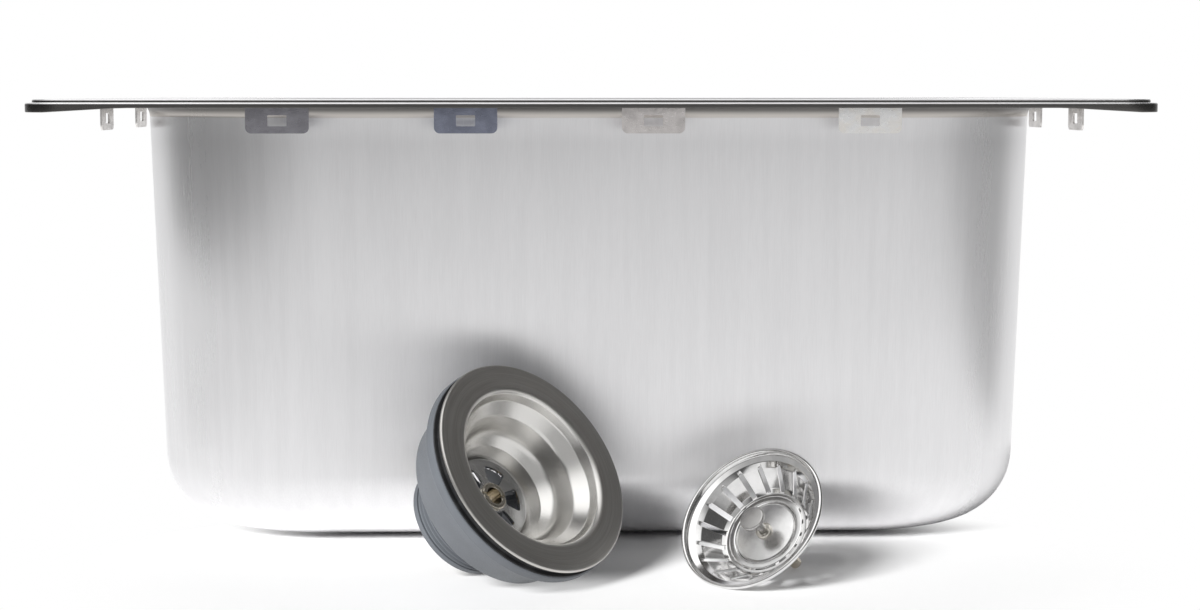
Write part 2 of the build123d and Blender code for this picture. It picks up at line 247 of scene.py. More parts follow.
class NodeKit:
    """Short calls that fill a node tree, shared by the shapes, the finishes and the room."""

    def __init__(self, tree: bpy.types.NodeTree) -> None:
        """Take up a tree's nodes and links."""
        self.nodes, self.links = tree.nodes, tree.links

    def put(self, value: object, target: Socket) -> None:
        """Link something to an input, or set the input's own value.

        Args:
            value: a node for its first output, a socket, a colour or a plain value.
            target: the input.
        """
        if isinstance(value, bpy.types.Node):
            value = value.outputs[0]
        if isinstance(value, Socket):
            self.links.new(value, target)
        elif target.type == "RGBA":
            target.default_value = (*value, 1.0)
        else:
            target.default_value = value

    def add(self, kind: str, inputs: dict[str | int, object] | None = None,
            **settings: object) -> bpy.types.Node:
        """Add a node.

        Args:
            kind: the node's type name.
            inputs: what each input gets, by name or number.
            settings: attributes of the node.

        Returns:
            The new node.
        """
        node = self.nodes.new(kind)
        adjust(node, settings)
        for key, value in (inputs or {}).items():
            self.put(value, node.inputs[key])
        return node

    def math(self, operation: str, first: object, second: object = 0.0) -> Socket:
        """Work out one step of arithmetic."""
        return self.add("ShaderNodeMath", {0: first, 1: second}, operation=operation).outputs[0]

    def vector_math(self, operation: str, first: object,
                    second: object = (0, 0, 0)) -> bpy.types.Node:
        """Work out one step with vectors."""
        return self.add("ShaderNodeVectorMath", {0: first, 1: second}, operation=operation)

    def vector(self, *parts: object) -> Socket:
        """Join up to three parts into a vector."""
        return self.add("ShaderNodeCombineXYZ", dict(enumerate(parts))).outputs[0]

    def parts(self, vector: Socket) -> bpy.types.NodeOutputs:
        """Split a vector into its three parts."""
        return self.add("ShaderNodeSeparateXYZ", {0: vector}).outputs

    def length(self, vector: Socket, scale: Corner) -> Socket:
        """Length of a vector that is first scaled along each axis."""
        scaled = self.vector_math("MULTIPLY", vector, scale)
        return self.vector_math("LENGTH", scaled).outputs["Value"]

    def reach(self, vector: Socket, way: Corner) -> Socket:
        """How far a vector goes along a direction."""
        return self.vector_math("DOT_PRODUCT", vector, way).outputs["Value"]

    def span(self, value: Socket, source: Point, target: Point = (0, 1)) -> Socket:
        """Map a value smoothly from one range to another, clamped."""
        ends = {0: value, 1: source[0], 2: source[1], 3: target[0], 4: target[1]}
        return self.add("ShaderNodeMapRange", ends, interpolation_type="SMOOTHSTEP").outputs[0]

    def blend(self, factor: object, first: object, second: object) -> Socket:
        """Mix two values."""
        return self.add("ShaderNodeMix", {0: factor, 2: first, 3: second}).outputs[0]


class Tree(NodeKit):
    """One Geometry Nodes tree with named inputs."""

    def __init__(self, name: str) -> None:
        """Start an empty tree with a geometry input and output.

        Args:
            name: the tree's name.
        """
        self.group = bpy.data.node_groups.new(name, "GeometryNodeTree")
        super().__init__(self.group)
        kind = "NodeSocketGeometry"
        for way in ("INPUT", "OUTPUT"):
            self.group.interface.new_socket("Geometry", in_out=way, socket_type=kind)
        self.source = self.add("NodeGroupInput")
        self.sink = self.add("NodeGroupOutput")

    def input(self, name: str, kind: str) -> Socket:
        """Add a named input and return its socket inside the tree."""
        self.group.interface.new_socket(name, in_out="INPUT", socket_type=f"NodeSocket{kind}")
        return self.source.outputs[name]

    def whole(self, operation: str, first: object, second: object) -> Socket:
        """Work out one step of arithmetic on whole numbers."""
        values = {0: first, 1: second}
        return self.add("FunctionNodeIntegerMath", values, operation=operation).outputs[0]

    def taken(self, geometry: Socket, index: Socket, name: str, kind: str = "FLOAT") -> Socket:
        """Read a point's attribute from another object.

        Args:
            geometry: the other object's geometry.
            index: the point's number.
            name: the attribute's name.
            kind: the attribute's data type.

        Returns:
            The value at that point.
        """
        value = self.add("GeometryNodeInputNamedAttribute", {0: name}, data_type=kind)
        return self.add("GeometryNodeSampleIndex", {0: geometry, "Value": value, "Index": index},
                        data_type=kind, domain="POINT").outputs["Value"]

    def object_mesh(self, name: str) -> Socket:
        """Add an object input and return its geometry."""
        info = self.add("GeometryNodeObjectInfo", {0: self.input(name, "Object")})
        return info.outputs["Geometry"]

    def finish(self, geometry: bpy.types.Node) -> None:
        """Realise what is left of instances, set the material and end the tree.

        Args:
            geometry: the node that gives the shape.
        """
        solid = self.add("GeometryNodeRealizeInstances", {0: geometry})
        inputs = {0: solid, "Material": self.input("Finish", "Material")}
        self.put(self.add("GeometryNodeSetMaterial", inputs), self.sink.inputs[0])


def build_sweep_tree() -> Tree:
    """Tree that sweeps rows of a section around columns of a rounded rectangle or a circle.

    Returns:
        The tree, which reads rows, columns, their counts and a finish.
    """
    tree = Tree("swept_section")
    rows, columns = tree.object_mesh("Rows"), tree.object_mesh("Columns")
    row_count, column_count = tree.input("Row Count", "Int"), tree.input("Column Count", "Int")
    grid = tree.add("GeometryNodeMeshGrid", {"Vertices X": row_count, "Vertices Y": column_count})
    index = tree.add("GeometryNodeInputIndex")
    row = tree.whole("DIVIDE_FLOOR", index, column_count)
    column = tree.whole("MODULO", index, column_count)
    reach, side, facing = (
        tree.parts(tree.taken(table, line, name, "FLOAT_VECTOR"))
        for table, line, name in ((rows, row, "position"), (columns, column, "position"),
                                  (columns, column, "facing")))
    place: list[Socket] = []
    for axis in (0, 1):
        centre = tree.math("MULTIPLY", side[axis], tree.math("SUBTRACT", reach[axis], reach[2]))
        place.append(tree.math("ADD", centre, tree.math("MULTIPLY", facing[axis], reach[2])))
    swell, drop = tree.taken(rows, row, "swell"), tree.taken(columns, column, "drop")
    height = tree.taken(rows, row, "height")
    place.append(tree.math("SUBTRACT", height, tree.math("MULTIPLY", swell, drop)))
    moved = tree.add("GeometryNodeSetPosition", {0: grid, "Position": tree.vector(*place)})
    spread = tree.parts(grid.outputs["UV Map"])
    mapped = tree.add("GeometryNodeStoreNamedAttribute",
                      {0: moved, "Name": "UVMap", "Value": tree.vector(spread[1], spread[0])},
                      data_type="FLOAT2", domain="CORNER")
    merged = tree.add("GeometryNodeMergeByDistance", {0: mapped, "Distance": WELD})
    tree.finish(tree.add("GeometryNodeSetShadeSmooth", {0: merged}))
    return tree


def build_radial_tree() -> Tree:
    """Tree that sets copies of a tool around the axis, and cuts them from a blank or keeps them.

    Returns:
        The tree, which reads a blank, a tool, a count, a phase and a finish.
    """
    tree = Tree("radial_pattern")
    blank, tool = tree.object_mesh("Blank"), tree.object_mesh("Tool")
    count, phase = tree.input("Count", "Int"), tree.input("Phase", "Float")
    cut = tree.input("Cut", "Bool")
    line = tree.add("GeometryNodeMeshLine", {"Count": count})
    index = tree.add("GeometryNodeInputIndex")
    share = tree.math("DIVIDE", tree.math("MULTIPLY", index, 2 * math.pi), count)
    stacked = tree.add("GeometryNodeSetPosition", {0: line, "Position": tree.vector()})
    turn = tree.vector(0, 0, tree.math("ADD", phase, share))
    copies = tree.add("GeometryNodeInstanceOnPoints",
                      {"Points": stacked, "Instance": tool, "Rotation": turn})
    solid = tree.add("GeometryNodeRealizeInstances", {0: copies})
    pierced = tree.add("GeometryNodeMeshBoolean", {0: blank, 1: solid},
                       operation="DIFFERENCE", solver="EXACT")
    tree.finish(tree.add("GeometryNodeSwitch", {"Switch": cut, "False": solid, "True": pierced},
                         input_type="GEOMETRY"))
    return tree


def build_thread_tree() -> Tree:
    """Tree that winds a ridge of one section up a helix.

    Returns:
        The tree, which reads a section, the helix's sizes and a finish.
    """
    tree = Tree("wound_ridge")
    section = tree.object_mesh("Section")
    turns, radius, height = (tree.input(name, "Float") for name in ("Turns", "Radius", "Height"))
    spiral = tree.add("GeometryNodeCurveSpiral", {
        "Resolution": SPIRAL_STEPS, "Rotations": turns, "Start Radius": radius,
        "End Radius": radius, "Height": height})
    upright = tree.add("GeometryNodeSetCurveNormal", {0: spiral}, mode="Z_UP")
    outline = tree.add("GeometryNodeMeshToCurve", {0: section})
    tree.finish(tree.add("GeometryNodeCurveToMesh", {0: upright, 1: outline, "Fill Caps": True}))
    return tree


class Workshop:
    """Makes the meshes: runs the node trees, cuts, bevels and places what they give."""

    def __init__(self) -> None:
        """Build the three trees once."""
        self.sweep = build_sweep_tree()
        self.radial = build_radial_tree()
        self.thread = build_thread_tree()

    def drop(self, *pieces: Piece) -> None:
        """Remove helper objects and their meshes.

        Args:
            pieces: the objects, which can't be used after it.
        """
        for piece in pieces:
            mesh = piece.data
            bpy.data.objects.remove(piece)
            bpy.data.meshes.remove(mesh)

    def polygon(self, name: str, points: list[Corner], closed: bool) -> Piece:
        """Chain of edges for a tree to read.

        Args:
            name: the name of the helper object.
            points: its points in metres.
            closed: True where the last point joins the first.

        Returns:
            The helper object.
        """
        mesh = bpy.data.meshes.new(name)
        edges = [(index, index + 1) for index in range(len(points) - 1)]
        mesh.from_pydata(points, edges + [(len(points) - 1, 0)] * closed, [])
        return placed(name, mesh)

    def table(self, name: str, places: list[Corner], values: dict[str, list]) -> Piece:
        """Row of points that carries the rows or columns of a sweep.

        Args:
            name: the name of the helper object.
            places: the points.
            values: the attribute of each name, one value or vector for each point.

        Returns:
            The helper object.
        """
        mesh = bpy.data.meshes.new(name)
        mesh.from_pydata(places, [], [])
        for key, column in values.items():
            is_vector = isinstance(column[0], tuple)
            layer = mesh.attributes.new(key, "FLOAT_VECTOR" if is_vector else "FLOAT", "POINT")
            flat = [part for value in column for part in value] if is_vector else column
            layer.data.foreach_set("vector" if is_vector else "value", flat)
        return placed(name, mesh)

    def plain(self, piece: Piece) -> bpy.types.Mesh:
        """Mesh of a piece with its modifiers applied, which are then removed.

        Args:
            piece: the piece.

        Returns:
            A new mesh.
        """
        bpy.context.view_layer.update()
        graph = bpy.context.evaluated_depsgraph_get()
        mesh = bpy.data.meshes.new_from_object(piece.evaluated_get(graph))
        piece.modifiers.clear()
        return mesh

    def run(self, tree: Tree, name: str, values: dict[str, object]) -> Piece:
        """Run a tree on an empty mesh and keep its plain result.

        Args:
            tree: the tree to run.
            name: the name of the new object.
            values: a value for each named input.

        Returns:
            A new object with the plain mesh, its modifier removed.
        """
        carrier = placed(f"{name}_carrier", bpy.data.meshes.new(f"{name}_carrier"))
        modifier = carrier.modifiers.new("shape", "NODES")
        modifier.node_group = tree.group
        for item in tree.group.interface.items_tree:
            if item.in_out == "INPUT" and item.name in values:
                modifier[item.identifier] = values[item.name]
        mesh = self.plain(carrier)
        self.drop(carrier)
        mesh.name = name
        mesh.materials.clear()
        mesh.materials.append(values["Finish"])
        mesh.polygons.foreach_set("material_index", [0] * len(mesh.polygons))
        return placed(name, mesh)

    def swept(self, name: str, rows: list[Row], columns: list[Column], finish: Finish) -> Piece:
        """Sweep rows around columns.

        Args:
            name: the name of the piece.
            rows: the rings of its section.
            columns: the stations around it.
            finish: its material.

        Returns:
            The smooth closed piece.
        """
        tables = (
            self.table(f"{name}_rows",
                       [(r.reach_x * MM, r.reach_y * MM, r.corner * MM) for r in rows],
                       {"height": [r.height * MM for r in rows], "swell": [r.swell for r in rows]}),
            self.table(f"{name}_columns", [(c.side_x, c.side_y, 0.0) for c in columns],
                       {"facing": [(c.facing_x, c.facing_y, 0.0) for c in columns],
                        "drop": [c.drop * MM for c in columns]}))
        piece = self.run(self.sweep, name, {
            "Rows": tables[0], "Columns": tables[1], "Row Count": len(rows),
            "Column Count": len(columns), "Finish": finish})
        self.drop(*tables)
        self.tidy(piece)
        return piece

    def turned(self, name: str, section: Outline, finish: Finish) -> Piece:
        """Turn a closed section of (radius, height) points about the Z axis."""
        return self.swept(name, turned_rows(section), round_columns(), finish)

    def prism(self, name: str, outline: Outline, low: float, high: float) -> Piece:
        """Upright prism over an outline, whichever way the outline runs.

        Args:
            name: the name of the helper object.
            outline: its outline in millimetres.
            low: the height of its lower face.
            high: the height of its upper face.

        Returns:
            The prism.
        """
        if enclosed(outline) < 0:
            outline = outline[::-1]
        shape = bmesh.new()
        face = shape.faces.new([shape.verts.new((x * MM, y * MM, low * MM)) for x, y in outline])
        lifted = bmesh.ops.extrude_face_region(shape, geom=[face])["geom"]
        top = [item for item in lifted if isinstance(item, bmesh.types.BMVert)]
        bmesh.ops.translate(shape, verts=top, vec=(0, 0, (high - low) * MM))
        bmesh.ops.recalc_face_normals(shape, faces=shape.faces)
        return placed(name, self.written(shape, bpy.data.meshes.new(name)))

    def pattern(self, name: str, blank: Piece, tool: Piece, count: int, phase_deg: float,
                finish: Finish, cut: bool = True) -> Piece:
        """Set copies of a tool around the axis.

        Args:
            name: the name of the piece.
            blank: what the copies are cut from.
            tool: what is copied.
            count: how many copies there are.
            phase_deg: the angle of the first copy.
            finish: the material of the piece.
            cut: False to get the copies themselves.

        Returns:
            The pierced blank, or the copies.
        """
        piece = self.run(self.radial, name, {
            "Blank": blank, "Tool": tool, "Count": count, "Phase": math.radians(phase_deg),
            "Cut": cut, "Finish": finish})
        self.drop(blank, tool)
        self.tidy(piece)
        return piece

    def bevelled(self, piece: Piece, width: float, segments: int) -> None:
        """Round the sharp edges of a piece.

        Args:
            piece: the piece, which keeps the plain result.
            width: the width of the rounding in millimetres.
            segments: the faces across it.
        """
        adjust(piece.modifiers.new("work", "BEVEL"), {
            "width": width * MM, "segments": segments, "limit_method": "ANGLE",
            "angle_limit": math.radians(SHARP_DEG), "use_clamp_overlap": True,
            "harden_normals": False})
        old, piece.data = piece.data, self.plain(piece)
        bpy.data.meshes.remove(old)
        self.tidy(piece)

    def written(self, shape: bmesh.types.BMesh, mesh: bpy.types.Mesh) -> bpy.types.Mesh:
        """Write a worked shape into a mesh and free it.

        Args:
            shape: the shape.
            mesh: the mesh that takes it.

        Returns:
            The same mesh.
        """
        shape.to_mesh(mesh)
        shape.free()
        return mesh

    def tidy(self, piece: Piece) -> None:
        """Weld doubles, face the normals outwards and mark the sharp edges.

        Args:
            piece: the piece, whose mesh is changed.
        """
        shape = bmesh.new()
        shape.from_mesh(piece.data)
        bmesh.ops.remove_doubles(shape, verts=shape.verts, dist=WELD)
        bmesh.ops.dissolve_degenerate(shape, edges=shape.edges, dist=WELD)
        bmesh.ops.recalc_face_normals(shape, faces=shape.faces)
        if shape.calc_volume(signed=True) < 0:
            bmesh.ops.reverse_faces(shape, faces=shape.faces)
        for face in shape.faces:
            face.smooth = True
        self.written(shape, piece.data).set_sharp_from_angle(angle=math.radians(SHARP_DEG))

    def joined(self, name: str, pieces: list[Piece]) -> Piece:
        """Join pieces that share one material into one object.

        Args:
            name: the name of the new piece.
            pieces: the pieces, which are used up.

        Returns:
            The joined piece.
        """
        shape = bmesh.new()
        for piece in pieces:
            shape.from_mesh(piece.data)
        finish = pieces[0].data.materials[0]
        self.drop(*pieces)
        mesh = self.written(shape, bpy.data.meshes.new(name))
        mesh.materials.append(finish)
        mesh.set_sharp_from_angle(angle=math.radians(SHARP_DEG))
        return placed(name, mesh)


class Body(Enum):
    """The rigid bodies that the pieces ride on."""

    TUB = "tub"
    WASTE = "waste"
    FLANGE = "flange"
    SCREW = "screw"
    BASKET = "basket"
    PLUG = "plug"


def settle(piece: Piece, body: Body, nodes: tuple[str, ...],
           place: Matrix | None = None) -> None:
    """Bake a piece's place into its mesh and tie it to the frame.

    Args:
        piece: the finished piece.
        body: the body it rides on.
        nodes: the CAD nodes it stands for.
        place: where its own axes lie, or None where it is already in place.
    """
    if place is not None:
        piece.data.transform(place)
        piece.data.update()
    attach(piece, body.value)
    if nodes:
        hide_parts(*nodes)
    LOG.info("%s: %d faces on %s", piece.name, len(piece.data.polygons), body.value)


def refinish(piece: Piece, finish: Finish) -> None:
    """Give a carried-over CAD node its material."""
    piece.data.materials.clear()
    piece.data.materials.append(finish)


class Shader(NodeKit):
    """A material's node tree, with short calls for what the finishes share."""

    def __init__(self, name: str, metallic: float, roughness: float) -> None:
        """Start a material with one principled shader.

        Args:
            name: the material's name.
            metallic: 1 for metal, 0 for the rest.
            roughness: its roughness where nothing else sets it.
        """
        self.material = bpy.data.materials.new(name)
        self.material.use_nodes = True
        super().__init__(self.material.node_tree)
        self.surface = self.nodes["Principled BSDF"]
        self.set("Metallic", metallic)
        self.set("Roughness", roughness)

    def set(self, name: str, value: object) -> None:
        """Set or link an input of the principled shader."""
        self.put(value, self.surface.inputs[name])

    def local(self, place: Matrix | None = None) -> Socket:
        """Object coordinates in millimetres.

        Args:
            place: where the piece's own axes lie, for a piece that lies askew.

        Returns:
            The point in the piece's own axes.
        """
        coords = self.add("ShaderNodeTexCoord").outputs["Object"]
        if place is not None:
            coords = self.add("ShaderNodeMapping", {
                0: coords, "Location": place.to_translation(), "Rotation": place.to_euler()},
                vector_type="TEXTURE")
        scaled = self.add("ShaderNodeVectorMath", {0: coords, 3: 1 / MM}, operation="SCALE")
        return scaled.outputs[0]

    def rings(self, spot: Socket, pitch: float, wander: float) -> Socket:
        """Coordinates that vary quickly with the radius and slowly around the axis.

        Args:
            spot: the point in the piece's own axes.
            pitch: the distance between two rings.
            wander: how quickly a ring varies on its way round.

        Returns:
            The vector for a noise.
        """
        parts = self.parts(spot)
        return self.vector(self.math("MULTIPLY", self.length(spot, (1, 1, 0)), 1 / pitch),
                           *(self.math("MULTIPLY", part, wander) for part in parts[:2]))

    def noise(self, vector: Socket, scale: Corner | float = 1.0, detail: float = 3.0) -> Socket:
        """Noise over a vector, which is first scaled along each axis.

        Args:
            vector: the vector.
            scale: its scale along each axis, or one for all.
            detail: how many finer noises are added.

        Returns:
            The noise, from 0 to 1.
        """
        scales = scale if isinstance(scale, tuple) else (scale,) * 3
        scaled = self.vector_math("MULTIPLY", vector, scales)
        inputs = {"Vector": scaled, "Scale": 1.0, "Detail": detail}
        return self.add("ShaderNodeTexNoise", inputs).outputs[0]

    def weighed(self, first: Socket, share: float, second: Socket) -> Socket:
        """Add two values, the first by its share and the second by the rest."""
        return self.math("ADD", self.math("MULTIPLY", first, share),
                         self.math("MULTIPLY", second, 1 - share))

    def mix(self, factor: object, first: object, second: object) -> Socket:
        """Mix two colours."""
        inputs = {0: factor, 6: first, 7: second}
        return self.add("ShaderNodeMix", inputs, data_type="RGBA").outputs[2]

    def bump(self, height: Socket, depth: float, strength: float,
             under: bpy.types.Node | None = None) -> bpy.types.Node:
        """Raise the surface and link it to the shader.

        Args:
            height: the height as a share of the depth.
            depth: the depth in millimetres.
            strength: how much of it is seen.
            under: a coarser bump that this one lies on.

        Returns:
            The bump.
        """
        inputs = {"Height": height, "Distance": depth * MM, "Strength": strength}
        if under is not None:
            inputs["Normal"] = under
        node = self.add("ShaderNodeBump", inputs)
        self.set("Normal", node)
        return node


@dataclass(frozen=True)
class UprightBrushed:
    """Drawn stainless sheet, brushed upright, with soft smudges, a few fine scratches, and painted
    shade on and under the rim's edge.
    """

    bright: Colour = (0.90, 0.895, 0.905)
    dull: Colour = (0.85, 0.845, 0.855)
    roughness: Point = (0.25, 0.28)
    panel_roughness: Point = (0.31, 0.34)
    panel_mm: Point = (220.0, 160.0)
    anisotropy: float = 0.9
    # The fold colour is painted shade: a warm grey on the downward faces just under the rim.
    fold_painted_shade: Colour = (0.70, 0.66, 0.625)
    fold_shade_height_mm: Point = (226.0, 226.6)
    # The rim colour is painted shade on the rim's edge and underside, set by height and downward
    # facing.
    rim_shade: Colour = (0.15, 0.145, 0.14)
    rim_shade_mm: Point = (226.4, 230.6)
    underside: Point = (0.02, 0.3)
    grain_mm: Corner = (0.35, 0.35, 60.0)
    broad_scale: Corner = (0.16, 0.16, 0.006)
    smudge_scale: Corner = (0.018, 0.018, 0.02)
    scratch_scale: Corner = (0.9, 0.9, 0.035)
    scratch_edge: Point = (0.66, 0.74)

    def build(self) -> Finish:
        """Make the material of the tub.

        Returns:
            The material.
        """
        shader = Shader("brushed_sheet", 1.0, self.roughness[0])
        spot = shader.local()
        fine = shader.noise(spot, tuple(1 / length for length in self.grain_mm))
        grain = shader.weighed(fine, 0.5, shader.noise(spot, self.broad_scale, 4.0))
        shade = shader.mix(shader.span(grain, NOISE_CORE), self.dull, self.bright)
        across, _, height = shader.parts(spot)
        facing = shader.parts(shader.add("ShaderNodeNewGeometry").outputs["Normal"])[2]
        under = shader.span(facing, self.underside, (1, 0))
        # Painted shade: downward faces under the rim take the fold colour, then the rim's shade
        # higher up.
        fold_shade_mask, rim = (shader.math("MULTIPLY", shader.span(height, edge), under)
                     for edge in (self.fold_shade_height_mm, self.rim_shade_mm))
        fold_shaded = shader.mix(fold_shade_mask, shade, self.fold_painted_shade)
        shader.set("Base Color", shader.mix(rim, fold_shaded, self.rim_shade))
        wear = shader.weighed(grain, 0.6, shader.noise(spot, self.smudge_scale, 5.0))
        panel = shader.span(shader.math("ABSOLUTE", across), self.panel_mm)
        bands = (self.roughness, self.panel_roughness)
        rough = (shader.span(wear, NOISE_BAND, band) for band in bands)
        shader.set("Roughness", shader.blend(panel, *rough))
        shader.set("Anisotropic", self.anisotropy)
        tangent = shader.add("ShaderNodeTangent", direction_type="UV_MAP", uv_map="UVMap")
        shader.set("Tangent", tangent)
        marks = shader.span(shader.noise(spot, self.scratch_scale, 2.0), self.scratch_edge)
        shader.bump(marks, 0.004, 0.08, shader.bump(fine, 0.002, 0.15))
        return shader.material


@dataclass(frozen=True)
class TabSteel:
    """Bent tab of cold-rolled sheet in a tint of its own, paler in clouds."""

    tint: Colour
    roughness: float = 0.34
    cloud_scale: Corner = (0.12, 0.12, 0.16)
    fine_scale: Corner = (0.5, 0.5, 3.0)
    paler: float = 1.25

    def build(self, name: str) -> Finish:
        """Make the material of one tab.

        Args:
            name: the material's name.

        Returns:
            The material.
        """
        shader = Shader(name, 1.0, self.roughness)
        spot = shader.local()
        cloud = shader.noise(spot, self.cloud_scale, 4.0)
        fine = shader.noise(spot, self.fine_scale)
        pale = tuple(min(1.0, part * self.paler) for part in self.tint)
        shader.set("Base Color", shader.mix(shader.span(cloud, NOISE_CORE), self.tint, pale))
        band = (self.roughness - 0.08, self.roughness + 0.1)
        shader.set("Roughness", shader.span(fine, NOISE_BAND, band))
        shader.bump(cloud, 0.12, 0.6, shader.bump(fine, 0.004, 0.4))
        return shader.material


@dataclass(frozen=True)
class RingBrushed:
    """Stainless that was brushed in rings on its flange and polished further down."""

    bright: Colour = (0.68, 0.665, 0.64)
    dull: Colour = (0.52, 0.505, 0.48)
    sump_tone: Colour = (0.74, 0.73, 0.71)
    flange_roughness: float = 0.36
    sump_roughness: float = 0.26
    brushed_edge: Point = (40.5, 43.0)
    fine_rings: Point = (0.16, 0.05)
    broad_rings: Point = (1.4, 0.02)
    mottle_scale: float = 0.08

    def build(self, place: Matrix) -> Finish:
        """Make the material of the strainer bowl.

        Args:
            place: where the piece's own axes lie.

        Returns:
            The material.
        """
        shader = Shader("ring_brushed_steel", 1.0, self.flange_roughness)
        spot = shader.local(place)
        fine = shader.noise(shader.rings(spot, *self.fine_rings))
        broad = shader.noise(shader.rings(spot, *self.broad_rings), detail=2.0)
        outer = shader.span(shader.length(spot, (1, 1, 0)), self.brushed_edge)
        grain = shader.span(shader.weighed(fine, 0.6, broad), NOISE_BAND)
        ringed = shader.mix(grain, self.dull, self.bright)
        shader.set("Base Color", shader.mix(outer, self.sump_tone, ringed))
        polish = shader.span(outer, (0, 1), (self.sump_roughness, self.flange_roughness))
        mottle = shader.span(shader.noise(spot, self.mottle_scale, 4.0), (0.2, 0.8), (-0.01, 0.012))
        shader.set("Roughness", shader.math("ADD", polish, mottle))
        depth = shader.math("MULTIPLY", fine, shader.span(outer, (0, 1), (0.04, 1.0)))
        shader.bump(depth, 0.004, 0.5)
        return shader.material


@dataclass(frozen=True)
class Plated:
    """Polished or plated metal with faint rings from turning and a few dull spots."""

    colour: Colour
    roughness: float
    ring_pitch_mm: float = 0.4
    ring_depth_mm: float = 0.001
    ring_wander: float = 0.03
    cloud_scale: float = 0.15
    darker: float = 0.9

    def build(self, name: str, place: Matrix) -> Finish:
        """Make the material of one turned piece.

        Args:
            name: the material's name.
            place: where the piece's own axes lie.

        Returns:
            The material.
        """
        shader = Shader(name, 1.0, self.roughness)
        spot = shader.local(place)
        turned = shader.noise(shader.rings(spot, self.ring_pitch_mm, self.ring_wander), detail=2.0)
        cloud = shader.noise(spot, self.cloud_scale, 4.0)
        dark = tuple(part * self.darker for part in self.colour)
        shader.set("Base Color", shader.mix(shader.span(cloud, NOISE_CORE), dark, self.colour))
        band = (self.roughness * 0.92, self.roughness * 1.12)
        shader.set("Roughness", shader.span(cloud, (0.25, 0.8), band))
        shader.bump(turned, self.ring_depth_mm, 0.5)
        return shader.material


@dataclass(frozen=True)
class Moulded:
    """Moulded plastic with a fine grain and slight flow marks."""

    colour: Colour = (0.102, 0.110, 0.122)
    roughness: float = 0.42
    grain_scale: float = 2.2
    flow_scale: Corner = (0.05, 0.05, 0.12)
    paler: float = 1.14

    def build(self, place: Matrix) -> Finish:
        """Make the material of the waste's plastic body.

        Args:
            place: where the piece's own axes lie.

        Returns:
            The material.
        """
        shader = Shader("moulded_plastic", 0.0, self.roughness)
        spot = shader.local(place)
        grain = shader.noise(spot, self.grain_scale)
        flow = shader.span(shader.noise(spot, self.flow_scale), NOISE_BAND)
        pale = tuple(part * self.paler for part in self.colour)
        shader.set("Base Color", shader.mix(flow, self.colour, pale))
        band = (self.roughness - 0.06, self.roughness + 0.08)
        shader.set("Roughness", shader.span(grain, NOISE_BAND, band))
        shader.bump(grain, 0.02, 0.35)
        return shader.material


@dataclass(frozen=True)
class Rubber:
    """Black rubber, matt, slightly dusty."""

    colour: Colour = (0.010, 0.010, 0.011)
    dust: Colour = (0.024, 0.024, 0.025)
    roughness: Point = (0.55, 0.72)
    bloom_scale: float = 0.12
    grain_scale: float = 1.8

    def build(self, name: str, place: Matrix) -> Finish:
        """Make the material of the seals of one group.

        Args:
            name: the material's name.
            place: where the piece's own axes lie.

        Returns:
            The material.
        """
        shader = Shader(name, 0.0, self.roughness[0])
        spot = shader.local(place)
        bloom = shader.span(shader.noise(spot, self.bloom_scale, 5.0), (0.4, 0.7))
        grain = shader.noise(spot, self.grain_scale, 2.0)
        shader.set("Base Color", shader.mix(bloom, self.colour, self.dust))
        shader.set("Roughness", shader.span(grain, NOISE_BAND, self.roughness))
        shader.bump(grain, 0.015, 0.4)
        return shader.material


def lying(place: Point, azimuth_deg: float, wide: Corner, narrow: Corner) -> Matrix:
    """Where a piece lies that rests on two round edges and looks up and sideways.

    Args:
        place: the middle of its top face, seen from above.
        azimuth_deg: the way it looks, from -Y towards +X.
        wide: (radius, depth, rounding) of its wide edge.
        narrow: (radius, depth, rounding) of its narrow edge.

    Returns:
        The matrix that takes its own axes to the row's, in metres.
    """
    fall, length = wide[0] - narrow[0], narrow[1] - wide[1]
    tilt = math.atan2(fall, length) + math.asin((wide[2] - narrow[2]) / math.hypot(fall, length))
    turn = math.radians(azimuth_deg)
    height = narrow[1] * math.sin(tilt) + narrow[0] * math.cos(tilt) + narrow[2]
    axis = Vector((math.sin(turn) * math.cos(tilt),
                   -math.cos(turn) * math.cos(tilt), math.sin(tilt)))
    level = Vector((math.cos(turn), math.sin(turn), 0))
    axes = Matrix((level, axis.cross(level), axis)).transposed().to_4x4()
    return Matrix.Translation(Vector((*place, height)) * MM) @ axes


